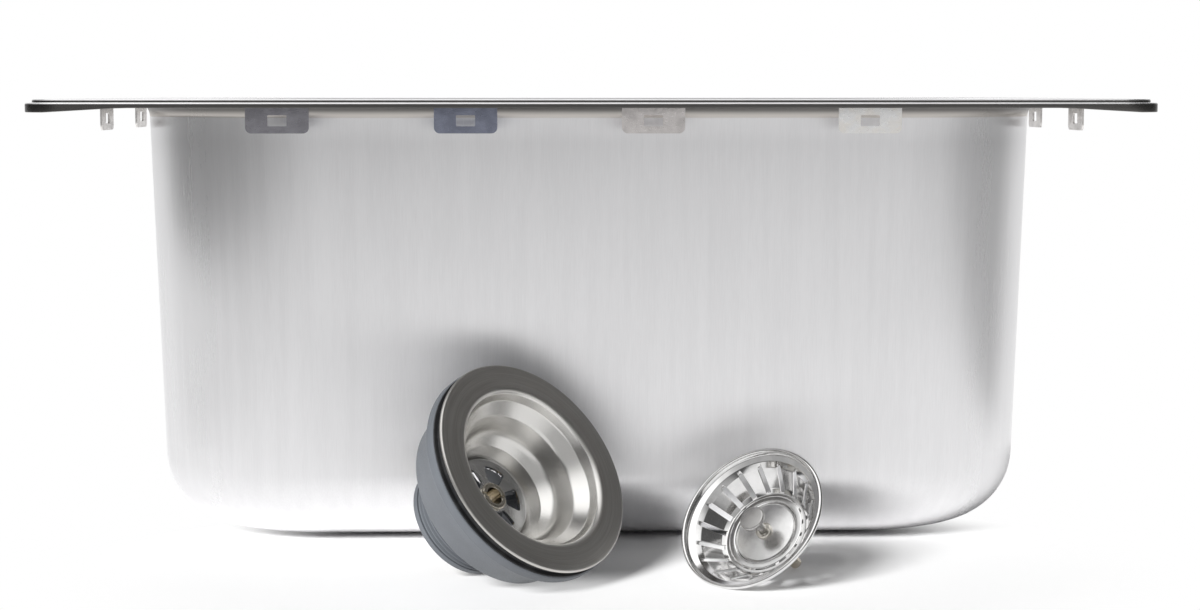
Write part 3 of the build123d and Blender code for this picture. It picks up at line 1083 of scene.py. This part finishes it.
@dataclass
class Tub:
    """The drawn bowl with its rim, and the tabs under it."""

    rim_width: float = 572.0
    rim_depth: float = 470.0
    height: float = 236.0
    sheet: float = 0.9
    flange_width: float = 41.5
    rim_corner: float = 20.0
    bowl_corner: float = 100.0
    draft_deg: float = 1.8
    floor_radius: float = 38.0
    roll_radius: float = 9.0
    lip_width: float = 3.5
    lip_drop: float = 1.8
    hem_depth: float = 2.6
    hem_swell: float = 2.2
    hem_slope_start: float = 12.0
    hem_slope_end: float = 50.0
    drain_radius: float = 45.0
    recess_radius: float = 60.0
    recess_depth: float = 1.2
    floor_fall: float = 0.6
    fall_radius: float = 125.0
    floor_rings: int = 6
    wall_rings: int = 14
    wall_rise: float = 100.0
    corner_steps: int = 30
    side_spots: tuple[float, ...] = (0.1, 0.3, 0.5, 0.65, 0.8, 0.87, 0.9, 0.925, 0.95, 0.975)
    tab_tints: dict[str, Colour] = field(default_factory=lambda: {
        "front_tab_1": (0.27, 0.265, 0.29), "front_tab_2": (0.23, 0.245, 0.31),
        "front_tab_3": (0.64, 0.61, 0.60), "front_tab_4": (1.0, 0.97, 0.93)})
    other_tab_tint: Colour = (0.72, 0.70, 0.68)
    tab_edge: float = 0.3

    def section(self) -> list[Corner]:
        """Closed section of the sheet, from the drain up and back.

        Returns:
            (reach, height, rounding) of each corner.
        """
        lean = math.tan(math.radians(self.draft_deg))
        mouth, rim = self.rim_width / 2 - self.flange_width, self.rim_width / 2
        under = self.recess_depth + self.floor_fall
        over, inner, gauge = under + self.sheet, mouth - self.sheet, self.sheet
        top, lip = self.height, self.height - self.lip_drop
        hem, step = lip - self.hem_depth, rim - self.lip_width
        return [
            (self.drain_radius, gauge, 0.2), (self.recess_radius - gauge, gauge, 0.9),
            (self.recess_radius - gauge, self.recess_depth + gauge, 0.5),
            (self.fall_radius, over, 0),
            (inner - (top - over) * lean, over, self.floor_radius - gauge),
            (inner, top, self.roll_radius - gauge), (step, top, 0.8), (step, lip, 0.3),
            (rim, lip, 0.8), (rim, hem, 0.3), (rim - gauge, hem, 0.3),
            (rim - gauge, lip - gauge, 0.25), (step - gauge, lip - gauge, 0.3),
            (step - gauge, top - gauge, 0.4),
            (mouth, top - gauge, self.roll_radius),
            (mouth - (top - under) * lean, under, self.floor_radius),
            (self.fall_radius, under, 0), (self.recess_radius, self.recess_depth, 0.5),
            (self.recess_radius, 0, 0.9), (self.drain_radius, 0, 0.2),
        ]

    def rows(self) -> list[Row]:
        """Rings of the sheet: circles in the floor, rounded rectangles in the bowl and the rim.

        Returns:
            The rings, with those of the morph.
        """
        rim = self.rim_width / 2
        mouth = rim - self.flange_width
        narrower = (self.rim_width - self.rim_depth) / 2
        bowl_end = mouth + self.roll_radius + 0.5
        rim_step = rim - self.lip_width - self.sheet - 1
        hem_reach = rim - self.sheet - 0.01
        hem_top = self.height - self.lip_drop - self.sheet - 0.8
        rows: list[Row] = []
        points = rounded(self.section(), step_deg=FINE_STEP_DEG)
        for reach, height in (*points, points[0]):
            if reach <= self.fall_radius:
                rows.append(Row(reach, reach, reach, height))
                continue
            bowl_corner = reach - mouth + self.bowl_corner
            rim_corner = reach - rim + self.rim_corner
            share = min(max((reach - bowl_end) / (rim_step - bowl_end), 0), 1)
            corner = bowl_corner + (rim_corner - bowl_corner) * share
            swell = float(reach > hem_reach and height < hem_top)
            rows.append(Row(reach, reach - narrower, corner, height, swell))
        return self.with_morph(rows)

    def with_morph(self, rows: list[Row]) -> list[Row]:
        """Add rings between the round floor and the first rounded rectangle, and up the wall.

        Args:
            rows: the rings of the section's own points.

        Returns:
            The rings with those in between.
        """
        filled: list[Row] = []
        for first, second in zip(rows, rows[1:] + rows[:1]):
            filled.append(first)
            rise = abs(first.height - second.height)
            crosses = (first.reach_x <= self.fall_radius) != (second.reach_x <= self.fall_radius)
            steps = self.wall_rings if rise > self.wall_rise else 1
            if crosses and rise < 0.1:
                steps = self.floor_rings
            for share in (step / steps for step in range(1, steps)):
                filled.append(Row(*(a + (b - a) * share for a, b in zip(
                    astuple(first)[:4], astuple(second)[:4]))))
        return filled

    def columns(self) -> list[Column]:
        """Stations around the rim: close together in the corners, wider along the sides.

        Returns:
            The stations, the first repeated at the end.
        """
        along = (-1, *(-spot for spot in reversed(self.side_spots)), *self.side_spots)
        columns: list[Column] = []
        for quarter in range(4):
            turn = quarter * math.pi / 2
            cosine, sine = round(math.cos(turn)), round(math.sin(turn))
            columns += [self.station(cosine - share * sine, sine + share * cosine, turn)
                        for share in along]
            columns += [self.station(cosine - sine, sine + cosine,
                                     turn + step / self.corner_steps * math.pi / 2)
                        for step in range(self.corner_steps)]
        return [*columns, columns[0]]

    def station(self, side_x: float, side_y: float, angle: float) -> Column:
        """One station, with how much deeper the hem hangs there.

        Args:
            side_x: the share of the half width, less the corner, that it hangs on.
            side_y: the share of the half depth, less the corner, that it hangs on.
            angle: the way it faces, in radians.

        Returns:
            The station.
        """
        facing, halves = polar(1.0, angle), (self.rim_width / 2, self.rim_depth / 2)
        share = 1.0
        for side, face, half in zip((side_x, side_y), facing, halves):
            spot = abs(side * (half - self.rim_corner) + face * self.rim_corner)
            low, high = half - self.hem_slope_end, half - self.hem_slope_start
            share *= min(max((spot - low) / (high - low), 0), 1)
        return Column(side_x, side_y, *facing, drop=self.hem_swell * share)

    def build(self, shop: Workshop) -> None:
        """Make the tub and dress its tabs.

        Args:
            shop: makes the meshes.
        """
        shell = shop.swept("tub_shell", self.rows(), self.columns(), UprightBrushed().build())
        settle(shell, Body.TUB, ("tub_bowl",))
        plain = TabSteel(self.other_tab_tint).build("tab_steel")
        for name in (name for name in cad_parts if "_tab_" in name):
            node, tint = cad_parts[name], self.tab_tints.get(name)
            refinish(node, TabSteel(tint).build(f"{name}_steel") if tint else plain)
            adjust(node.modifiers.new("eased_edges", "BEVEL"), {
                "width": self.tab_edge * MM, "segments": 2, "limit_method": "ANGLE"})


@dataclass
class Waste:
    """The basket waste at the left: strainer bowl, grid, screw, seals and plastic body."""

    place: Point = (-30.2, -271.6)
    azimuth_deg: float = 48.1
    steel: float = 1.0
    flange_radius: float = 56.5
    flange_turn: float = 1.3
    throat_radius: float = 42.0
    bowl_steps: tuple[Corner, ...] = (
        (39.9, -6.5, 3), (34.2, -12, 5), (30.9, -23, 10), (25.7, -27.8, 0.7))
    grid_top: float = 33.8
    grid_thickness: float = 2.0
    grid_radius: float = 21.4
    grid_seat: float = 22.4
    seat_width: float = 4.0
    fit: float = 0.06
    screw_radius: float = 5.9
    screw_bore: float = 4.5
    screw_end: float = 54.6
    head_radius: float = 7.3
    head_height: float = 1.9
    slot_width: float = 1.8
    slot_depth: float = 1.1
    slot_deg: float = -20.0
    spokes: int = 5
    spoke_phase_deg: float = 92.7
    window: Point = (8.4, 17.2)
    window_deg: float = 44.0
    window_rounding: float = 1.6
    seal_thickness: float = 4.4
    seal_inset: Point = (2.5, 1.6)
    thin_seal: float = 0.8
    thin_inset: Point = (0.5, 0.6)
    body_radius: float = 57.0
    body_flange: float = 5.4
    shoulder: float = 53.0
    edge: Point = (47.3, 33.5)
    wall: float = 2.6
    tail_radius: float = 29.8
    tail_length: float = 60.0
    tail_collar: float = 3.0
    tail_bore: float = 26.3
    outlet: Point = (26.8, 5.0)
    thread_pitch: float = 2.3
    thread_depth: float = 1.2
    thread_half: float = 0.95
    thread_end: float = 3.6
    insert_radius: float = 8.5
    insert_length: float = 15.0
    boss_wall: float = 2.5
    boss_gap: float = 3.0
    webs: int = 4
    web_half: float = 1.25
    web_bite: float = 0.4

    def frame_matrix(self) -> Matrix:
        """Where the waste lies."""
        tail = (self.tail_radius, self.tail_length, 0)
        return lying(self.place, self.azimuth_deg, (*self.edge, 0), tail)

    def steel_section(self) -> Outline:
        """Section of the pressed flange and stepped bowl.

        Returns:
            The closed section.
        """
        half = self.steel / 2
        rim, seat = self.flange_radius - half, self.grid_top + self.grid_thickness + half
        path = [(rim, -self.flange_turn, 0), (rim, -half, 0.7), (self.throat_radius, -half, 3),
                *self.bowl_steps, (self.grid_seat, -seat, 1),
                (self.grid_seat - self.seat_width, -seat, 0)]
        return sheet_section(rounded(path, closed=False, step_deg=FINE_STEP_DEG), self.steel)

    def body_section(self) -> list[Corner]:
        """Section of the plastic body, without the ridges of its thread.

        Returns:
            (radius, height, rounding) of each corner.
        """
        top = -(self.steel + self.seal_thickness + self.thin_seal)
        mouth, root = self.throat_radius + self.steel + 0.5, self.tail_radius - self.thread_depth
        deep, end = self.edge[1], -self.tail_length
        flange, collar, step = top - self.body_flange, end + self.tail_collar, end + self.outlet[1]
        return [
            (mouth, top, 0.3), (self.body_radius, top, 0.9), (self.body_radius, flange, 0.9),
            (self.shoulder, flange, 1.2), (self.edge[0], -deep, 1.5),
            (self.tail_radius, -(deep + self.wall), 0.8),
            (root, -(deep + self.wall + self.thread_pitch), 0.4), (root, collar, 0.2),
            (self.tail_radius, collar, 0.3), (self.tail_radius, end, 0.5),
            (self.outlet[0], end, 0.4), (self.outlet[0], step, 0.1), (self.tail_bore, step, 0.1),
            (self.tail_bore, self.wall - deep, 0.4), (mouth, self.wall - deep, 0.8),
        ]

    def window_outline(self, steps: int = 8) -> Outline:
        """One window of the grid: a rounded piece of a ring, centred on the X axis.

        Args:
            steps: the points of each arc of its upper half.

        Returns:
            The closed outline.
        """
        inner, outer = self.window
        ease, side = self.window_rounding, math.radians(self.window_deg / 2)
        square = side + math.pi / 2
        (outer_reach, outer_turn), (inner_reach, inner_turn) = (
            (reach, side - math.asin(ease / reach)) for reach in (outer - ease, inner + ease))
        half = [
            *arc((0, 0), outer, 0.0, outer_turn, steps)[:-1],
            *arc(polar(outer_reach, outer_turn), ease, outer_turn, square, steps),
            *arc(polar(inner_reach, inner_turn), ease, square, math.pi + inner_turn, steps),
            *arc((0, 0), inner, 0.0, inner_turn, steps)[-2::-1]]
        return half + [(x, -y) for x, y in reversed(half) if y > WELD]

    def build_grid(self, shop: Workshop, chrome: Finish) -> Piece:
        """Spoked grid, its windows cut by the radial tree.

        Args:
            shop: makes the meshes.
            chrome: its material.

        Returns:
            The grid in its own axes.
        """
        low, top = -(self.grid_top + self.grid_thickness), -self.grid_top
        corners = ring(self.screw_radius + self.fit, self.grid_radius, low, top, 0, 0.2, 0.7, 0)
        blank = shop.turned("grid_blank", rounded(corners), chrome)
        tool = shop.prism("grid_tool", self.window_outline(), low - 1, top + 1)
        phase = self.spoke_phase_deg + 180 / self.spokes
        grid = shop.pattern("strainer_grid_spokes", blank, tool, self.spokes, phase, chrome)
        shop.bevelled(grid, 0.35, 3)
        return grid

    def build_screw(self, shop: Workshop, nickel: Finish) -> Piece:
        """Hollow screw with a slot across its head.

        Args:
            shop: makes the meshes.
            nickel: its material.

        Returns:
            The screw in its own axes.
        """
        top = self.head_height - self.grid_top
        blank = shop.turned("screw_blank", rounded([
            (self.screw_bore, -self.screw_end, 0.2), (self.screw_radius, -self.screw_end, 0.4),
            (self.screw_radius, -self.grid_top, 0), (self.head_radius, -self.grid_top, 0.2),
            (self.head_radius, top, 0.95), (self.screw_bore, top, 0.4)]), nickel)
        reach = 2 * self.head_radius
        tool = shop.prism("screw_tool", box(-reach, reach, self.slot_width / 2),
                          top - self.slot_depth, top + 2)
        screw = shop.pattern("slotted_screw", blank, tool, 1, self.slot_deg, nickel)
        shop.bevelled(screw, 0.12, 2)
        return screw

    def build_thread(self, shop: Workshop, plastic: Finish) -> Piece:
        """Ridge of the threaded tail, wound by the thread tree.

        Args:
            shop: makes the meshes.
            plastic: its material.

        Returns:
            The ridge in the waste's own axes.
        """
        depth, half = self.thread_depth, self.thread_half
        outline = [(-0.2, -half), (depth - 0.12, -0.3), (depth, -0.2), (depth, 0.2),
                   (depth - 0.12, 0.3), (-0.2, half)]
        section = shop.polygon("thread_section", [(-x * MM, y * MM, 0) for x, y in outline], True)
        top = self.edge[1] + self.wall + 1.4 * self.thread_pitch
        low = self.tail_length - self.thread_end
        ridge = shop.run(shop.thread, "tail_thread", {
            "Section": section, "Turns": (low - top) / self.thread_pitch,
            "Radius": (self.tail_radius - depth) * MM, "Height": (low - top) * MM,
            "Finish": plastic})
        shop.drop(section)
        ridge.data.transform(Matrix.Translation((0, 0, -low * MM)))
        shop.tidy(ridge)
        return ridge

    def build_boss(self, shop: Workshop, plastic: Finish) -> Piece:
        """Boss for the insert and the webs that hold it in the tail.

        Args:
            shop: makes the meshes.
            plastic: their material.

        Returns:
            The boss with its webs.
        """
        top = -(self.grid_top + self.grid_thickness + self.steel + self.boss_gap)
        low, radius = top - self.insert_length, self.insert_radius + self.boss_wall
        corners = ring(self.insert_radius, radius, low, top, 0.2, 0.4, 0.4, 0.2)
        boss = shop.turned("boss_ring", rounded(corners), plastic)
        outline = box(radius - self.web_bite, self.tail_bore + self.web_bite, self.web_half)
        web = shop.prism("boss_web", outline, low, top)
        blank = shop.polygon("boss_blank", [(0, 0, 0), (MM, 0, 0)], False)
        webs = shop.pattern("boss_webs", blank, web, self.webs, 0, plastic, cut=False)
        return shop.joined("outlet_boss", [boss, webs])

    def build(self, shop: Workshop) -> None:
        """Make every piece of the waste and tie it to its body.

        Args:
            shop: makes the meshes.
        """
        place = self.frame_matrix()
        chrome = Plated((0.95, 0.95, 0.95), 0.22).build("grid_chrome", place)
        nickel = Plated((0.72, 0.67, 0.58), 0.16).build("screw_nickel", place)
        rubber, plastic = Rubber().build("waste_rubber", place), Moulded().build(place)
        steel = RingBrushed().build(place)
        bowl = shop.turned("strainer_bowl_pressing", self.steel_section(), steel)
        settle(bowl, Body.FLANGE, ("strainer_bowl",), place)
        settle(self.build_grid(shop, chrome), Body.FLANGE, ("strainer_grid",), place)
        settle(self.build_screw(shop, nickel), Body.SCREW, ("clamp_screw",), place)
        throat, under_seal = self.throat_radius + self.steel, -(self.steel + self.seal_thickness)
        for name, node, body, inset, radius, top, thick in (
                ("thick_seal", "flange_seal", Body.FLANGE, self.seal_inset, self.flange_radius,
                 -self.steel, self.seal_thickness),
                ("thin_seal", "body_seal", Body.WASTE, self.thin_inset, self.body_radius,
                 under_seal, self.thin_seal)):
            corners = ring(throat + inset[0], radius - inset[1], top - thick, top, thick * 0.2)
            settle(shop.turned(name, rounded(corners), rubber), body, (node,), place)
        body = shop.turned("waste_body_moulding", rounded(self.body_section()), plastic)
        settle(body, Body.WASTE, ("waste_body",), place)
        for piece in (self.build_thread(shop, plastic), self.build_boss(shop, plastic)):
            settle(piece, Body.WASTE, (), place)
        brass = Plated((0.78, 0.58, 0.30), 0.25).build("insert_brass", place)
        refinish(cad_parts["thread_insert"], brass)


@dataclass
class Basket:
    """The strainer basket that lies at the right, with its knob and plug."""

    place: Point = (75.3, -268.9)
    azimuth_deg: float = -41.9
    sheet: float = 0.7
    radius: float = 39.1
    bead: float = 1.1
    wall_steps: tuple[Corner, ...] = (
        (36.9, -3.7, 1.1), (33.8, -4.6, 1.1), (31.2, -6.6, 2.1), (24.6, -15.7, 2.1))
    floor_depth: float = 17.3
    slots: int = 18
    slot_phase_deg: float = 90.0
    slot_width: float = 2.8
    slot_reach: Point = (21.6, 32.2)
    disc_edge: float = 15.6
    disc_fall: float = 0.9
    head: tuple[float, float, float] = (6.5, 1.4, 2.4)
    post_radius: float = 2.75
    neck_radius: float = 2.2
    fit: float = 0.06
    bush_radius: float = 3.4
    collar_radius: float = 4.3
    collar_height: float = 1.4
    travel: float = 4.0
    seal_radius: float = 23.6
    seal_taper: float = 2.3
    seal_thickness: float = 2.0
    washer_radius: float = 9.0
    washer_thickness: float = 0.8
    stem_radius: float = 3.3
    tip_radius: float = 3.0
    tip_round: float = 0.5
    tip_depth: float = 49.6
    tip_length: float = 16.0
    ring_depth: float = 37.0
    ring_height: float = 2.4
    ring_radius: float = 4.3
    ring_groove: float = 0.8

    def frame_matrix(self) -> Matrix:
        """Where the basket lies.

        Returns:
            The matrix that takes its own axes to the row's.
        """
        tip = (self.tip_radius - self.tip_round, self.tip_depth - self.tip_round, self.tip_round)
        rim = (self.radius - self.bead, self.bead, self.bead)
        return lying(self.place, self.azimuth_deg, rim, tip)

    def shell_section(self) -> Outline:
        """Section of the slotted basket, without its rolled rim.

        Returns:
            The closed section.
        """
        deep, well = -self.floor_depth, 1 - self.floor_depth
        path = [(self.radius - self.bead, -self.bead, 0), *self.wall_steps, (22.4, deep, 1.1),
                (20.6, deep, 0.4), (19.9, well, 0.4), (17.3, well, 0.4), (16.6, deep, 0.4),
                (self.bush_radius + self.sheet / 2, deep, 0)]
        return sheet_section(rounded(path, closed=False, step_deg=8.0), self.sheet)

    def build_shell(self, shop: Workshop, steel: Finish) -> Piece:
        """Basket with its slots, cut by the radial tree, and its rolled rim.

        Args:
            shop: makes the meshes.
            steel: its material.

        Returns:
            The basket in its own axes.
        """
        blank = shop.turned("basket_blank", self.shell_section(), steel)
        half, quarter = self.slot_width / 2, math.pi / 2
        inner, outer = self.slot_reach
        outline = [*arc((outer - half, 0), half, -quarter, quarter, 8),
                   *arc((inner + half, 0), half, quarter, 3 * quarter, 8)]
        tool = shop.prism("basket_tool", outline, 0.4 - self.floor_depth, 1.0)
        shell = shop.pattern("slotted_shell", blank, tool, self.slots, self.slot_phase_deg, steel)
        shop.bevelled(shell, 0.08, 1)
        circle = arc((self.radius - self.bead, -self.bead), self.bead, 0.0, 2 * math.pi, 24)[:-1]
        return shop.joined("basket_pressing", [shell, shop.turned("rolled_rim", circle, steel)])

    def levels(self) -> tuple[float, ...]:
        """Heights of the pieces that pass through the floor.

        Returns:
            Top of the disc, top and foot of the bush, top and foot of the seal, top of the stem.
        """
        disc = self.disc_fall + self.sheet + 0.15 - (self.floor_depth - self.sheet / 2)
        bush = disc + 0.05 + self.collar_height
        bush_low = -(self.floor_depth + self.sheet / 2 + 0.2)
        seal = bush_low - 0.3
        seal_low = seal - self.seal_thickness
        return disc, bush, bush_low, seal, seal_low, seal_low - self.washer_thickness

    def sections(self) -> dict[str, list[Corner]]:
        """Sections of the turned pieces by name.

        Returns:
            The corners of each section.
        """
        disc, bush, bush_low, seal, seal_low, stem = self.levels()
        disc_rim, collar = disc - self.disc_fall, bush - self.collar_height
        shoulder, neck = bush + self.travel + 0.4, self.neck_radius + self.fit
        hub, post, tip_radius = self.bush_radius, self.post_radius, self.tip_radius
        head, head_top, head_low = self.head[0], -self.head[1], -self.head[1] - self.head[2]
        step, tip = self.tip_length - self.tip_depth, -self.tip_depth
        groove, half = tip_radius - self.ring_groove, self.ring_height / 2
        ring_low, ring_top = -self.ring_depth - half, -self.ring_depth + half
        return {
            "centre_disc": [
                (hub, disc, 0.1), (self.disc_edge, disc_rim, 0.2),
                (self.disc_edge, disc_rim - self.sheet, 0.1), (hub, disc - self.sheet, 0.1)],
            "hub_bush": [
                (neck, bush_low, 0.1), (hub, bush_low, 0.2), (hub, collar, 0),
                (self.collar_radius, collar, 0.1), (self.collar_radius, bush, 0.5),
                (neck, bush, 0.15)],
            "knob": [
                (0, stem, 0), (self.neck_radius, stem, 0.1), (self.neck_radius, shoulder, 0.1),
                (post, shoulder, 0.3), (post, head_low, 0.5), (head, head_low, 0.7),
                (head, head_top, 0.8), (0, head_top, 0)],
            "plug_seal": [
                (neck, seal_low, 0.1), (self.seal_radius - self.seal_taper, seal_low, 0.4),
                (self.seal_radius, seal, 0.25), (neck, seal, 0.1)],
            "seal_washer": ring(neck, self.washer_radius, stem, seal_low, 0.05, 0.2, 0.2, 0.05),
            "plug_stem": [
                (0, tip, 0), (tip_radius, tip, 0.5), (tip_radius, ring_low, 0.1),
                (groove, ring_low, 0.1), (groove, ring_top, 0.1), (tip_radius, ring_top, 0.1),
                (tip_radius, step, 0.1), (self.stem_radius, step, 0.3),
                (self.stem_radius, stem, 0.1), (0, stem, 0)],
            "grip_ring": ring(groove, self.ring_radius, ring_low + 0.02, ring_top - 0.02,
                              0.1, 0.6, 0.6, 0.1),
        }

    def build(self, shop: Workshop) -> None:
        """Make every piece of the basket and tie it to its body.

        Args:
            shop: makes the meshes.
        """
        place = self.frame_matrix()
        steel = Plated((0.83, 0.825, 0.82), 0.10).build("basket_steel", place)
        rubber = Rubber().build("plug_rubber", place)
        finishes = {
            "centre_disc": ("disc_steel", Body.BASKET, Plated((0.82, 0.815, 0.81), 0.24, 0.6)),
            "hub_bush": ("bush_brass", Body.BASKET, Plated((0.74, 0.71, 0.65), 0.16)),
            "knob": ("knob_chrome", Body.PLUG, Plated((0.54, 0.53, 0.52), 0.24, 0.25)),
            "plug_seal": ("plug_rubber", Body.PLUG, None),
            "seal_washer": ("washer_steel", Body.PLUG, Plated((0.66, 0.66, 0.66), 0.25)),
            "plug_stem": ("stem_brass", Body.PLUG, Plated((0.76, 0.70, 0.60), 0.20)),
            "grip_ring": ("plug_rubber", Body.PLUG, None),
        }
        settle(self.build_shell(shop, steel), Body.BASKET, ("basket_shell",), place)
        for node, corners in self.sections().items():
            slot, body, plating = finishes[node]
            finish = plating.build(f"{node}_finish", place) if plating else rubber
            piece = shop.turned(f"{node}_turned", rounded(corners), finish)
            settle(piece, body, (node,), place)


@dataclass(frozen=True)
class Glow:
    """A soft patch of light that metal mirrors: its way, its edge as two cosines, and its tone."""

    way: Corner
    edge: Point
    tone: float


@dataclass(frozen=True)
class ShadeWash:
    """A painted shade laid over the floor: its way from the middle, its edge in metres, and its
    tone.
    """

    way: Point
    edge: Point
    tone: float


@dataclass
class Studio:
    """Pale floor, a room that the metal mirrors, the key lamp and the camera."""

    camera_place: Corner = (-0.0221, -1.3348, 0.2394)
    heading_deg: float = 1.28
    pitch_deg: float = 5.51
    lens: float = 66.155
    sensor: float = 36.0
    clip: Point = (0.05, 60.0)
    floor_half: float = 6.0
    floor_tone: float = 0.97
    # Painted shade: the floor's colour darkens to the front, the left, the back right and far off.
    shade_washes: tuple[ShadeWash, ...] = (
        ShadeWash((0.0, -1.0), (0.45, 0.90), 0.84),
        ShadeWash((-1.0, 0.0), (0.34, 0.62), 0.80),
        ShadeWash((0.60, 0.80), (0.18, 0.40), 0.40),
        ShadeWash((-0.90, -0.44), (1.35, 1.65), 0.22),
        ShadeWash((0.0, -1.0), (4.6, 5.8), 0.60),
    )
    shadow_centre: Point = (0.01, -0.24)
    shadow_scale: Corner = (1.0, 1.6, 1)
    shadow_edge: Point = (0.20, 0.29)
    backdrop_ways: tuple[Point, Point] = ((-0.47, 0.88), (0.47, 0.88))
    backdrop_edge: Point = (-0.30, -0.235)
    footprint_scale: Corner = (1.0, 1.35, 1)
    footprint_edge: Point = (0.32, 0.42)
    room_tone: float = 0.10
    key_way: Corner = (-0.52, -0.68, 0.50)
    key_strength: float = 5.6
    key_angle_deg: float = 22.0
    glows: tuple[Glow, ...] = (
        Glow((-0.20, -0.28, 0.94), (0.70, 0.95), 0.95),
        Glow((-0.50, 0.0, 0.86), (0.50, 0.95), 0.50),
        Glow((0.0, -1.0, 0.17), (0.85, 0.97), 0.40),
        Glow((0.0, 1.0, 0.0), (0.55, 0.85), 1.0),
    )

    def build_camera(self) -> None:
        """Set the camera at the photograph's place and angle."""
        data = bpy.data.cameras.new("camera")
        data.lens, data.sensor_width, data.sensor_fit = self.lens, self.sensor, "HORIZONTAL"
        data.clip_start, data.clip_end = self.clip
        camera = placed("camera", data)
        camera.location = self.camera_place
        tilt, heading = math.radians(90 - self.pitch_deg), -math.radians(self.heading_deg)
        camera.rotation_euler = (tilt, 0, heading)
        bpy.context.scene.camera = camera

    def build_floor(self) -> None:
        """Lay the floor: it keeps the shadow near the tub, carries painted shade, and is white
        behind and further off.
        """
        mesh = bpy.data.meshes.new("floor")
        half = self.floor_half
        mesh.from_pydata([(x, y, 0) for x, y in box(-half, half, half)], [], [(0, 1, 2, 3)])
        floor = placed("floor", mesh)
        floor.location.z = -0.2 * MM
        shader = Shader("floor_paper", 0.0, 0.6)
        spot = shader.add("ShaderNodeTexCoord").outputs["Object"]
        tone: object = (self.floor_tone,) * 3
        # Painted shade: each wash darkens the floor's colour along its way.
        for shade_wash in self.shade_washes:
            share = shader.span(shader.reach(spot, (*shade_wash.way, 0)), shade_wash.edge)
            tone = shader.mix(share, tone, (shade_wash.tone,) * 3)
        shader.set("Base Color", tone)
        shader.set("Specular IOR Level", 0.25)
        path = shader.add("ShaderNodeLightPath").outputs
        seen = shader.math("MAXIMUM", path["Is Camera Ray"], path["Is Transmission Ray"])
        away = shader.vector_math("SUBTRACT", spot, (*self.shadow_centre, 0))
        far = shader.span(shader.length(away, self.shadow_scale), self.shadow_edge)
        sides = (shader.span(shader.reach(spot, (*way, 0)), self.backdrop_edge)
                 for way in self.backdrop_ways)
        outside = shader.span(shader.length(spot, self.footprint_scale), self.footprint_edge)
        behind = shader.math("MULTIPLY", shader.math("MULTIPLY", *sides), outside)
        share = shader.math("MAXIMUM", shader.math("MULTIPLY", far, seen), behind)
        white = shader.add("ShaderNodeEmission", {"Color": (1, 1, 1), "Strength": 1.0})
        blend = shader.add("ShaderNodeMixShader", {0: share, 1: shader.surface, 2: white})
        shader.put(blend, shader.nodes["Material Output"].inputs["Surface"])
        mesh.materials.append(shader.material)

    def build_key(self) -> None:
        """Hang the soft key lamp that casts the shadows; metal mirrors the room instead."""
        data = bpy.data.lights.new("key", "SUN")
        data.energy, data.angle = self.key_strength, math.radians(self.key_angle_deg)
        key = placed("key", data)
        key.rotation_euler = Vector(self.key_way).to_track_quat("Z", "Y").to_euler()
        key.visible_glossy = False

    def build_world(self) -> None:
        """Light the room: dim all round, with glows for metal, and white for the camera."""
        world = bpy.data.worlds.new("studio")
        bpy.context.scene.world = world
        world.use_nodes = True
        world.node_tree.nodes.clear()
        room = NodeKit(world.node_tree)
        way = room.add("ShaderNodeTexCoord").outputs["Generated"]
        path = room.add("ShaderNodeLightPath").outputs
        total: object = 0.0
        for glow in self.glows:
            along = room.reach(way, Vector(glow.way).normalized())
            total = room.math("ADD", room.span(along, glow.edge, (0, glow.tone)), total)
        lit = room.math("ADD", room.math("MULTIPLY", total, path["Is Glossy Ray"]), self.room_tone)
        seen = room.blend(path["Is Camera Ray"], lit, 1.0)
        room.add("ShaderNodeOutputWorld", {0: room.add("ShaderNodeBackground", {0: seen})})

    def build(self) -> None:
        """Set up the camera, the floor, the lamp and the room."""
        self.build_camera()
        self.build_floor()
        self.build_key()
        self.build_world()
        bpy.context.scene.view_settings.view_transform = "Standard"


def main() -> None:
    """Build the studio and the three groups."""
    Studio().build()
    shop = Workshop()
    for group in (Tub(), Waste(), Basket()):
        group.build(shop)


if __name__ == "__main__":
    main()
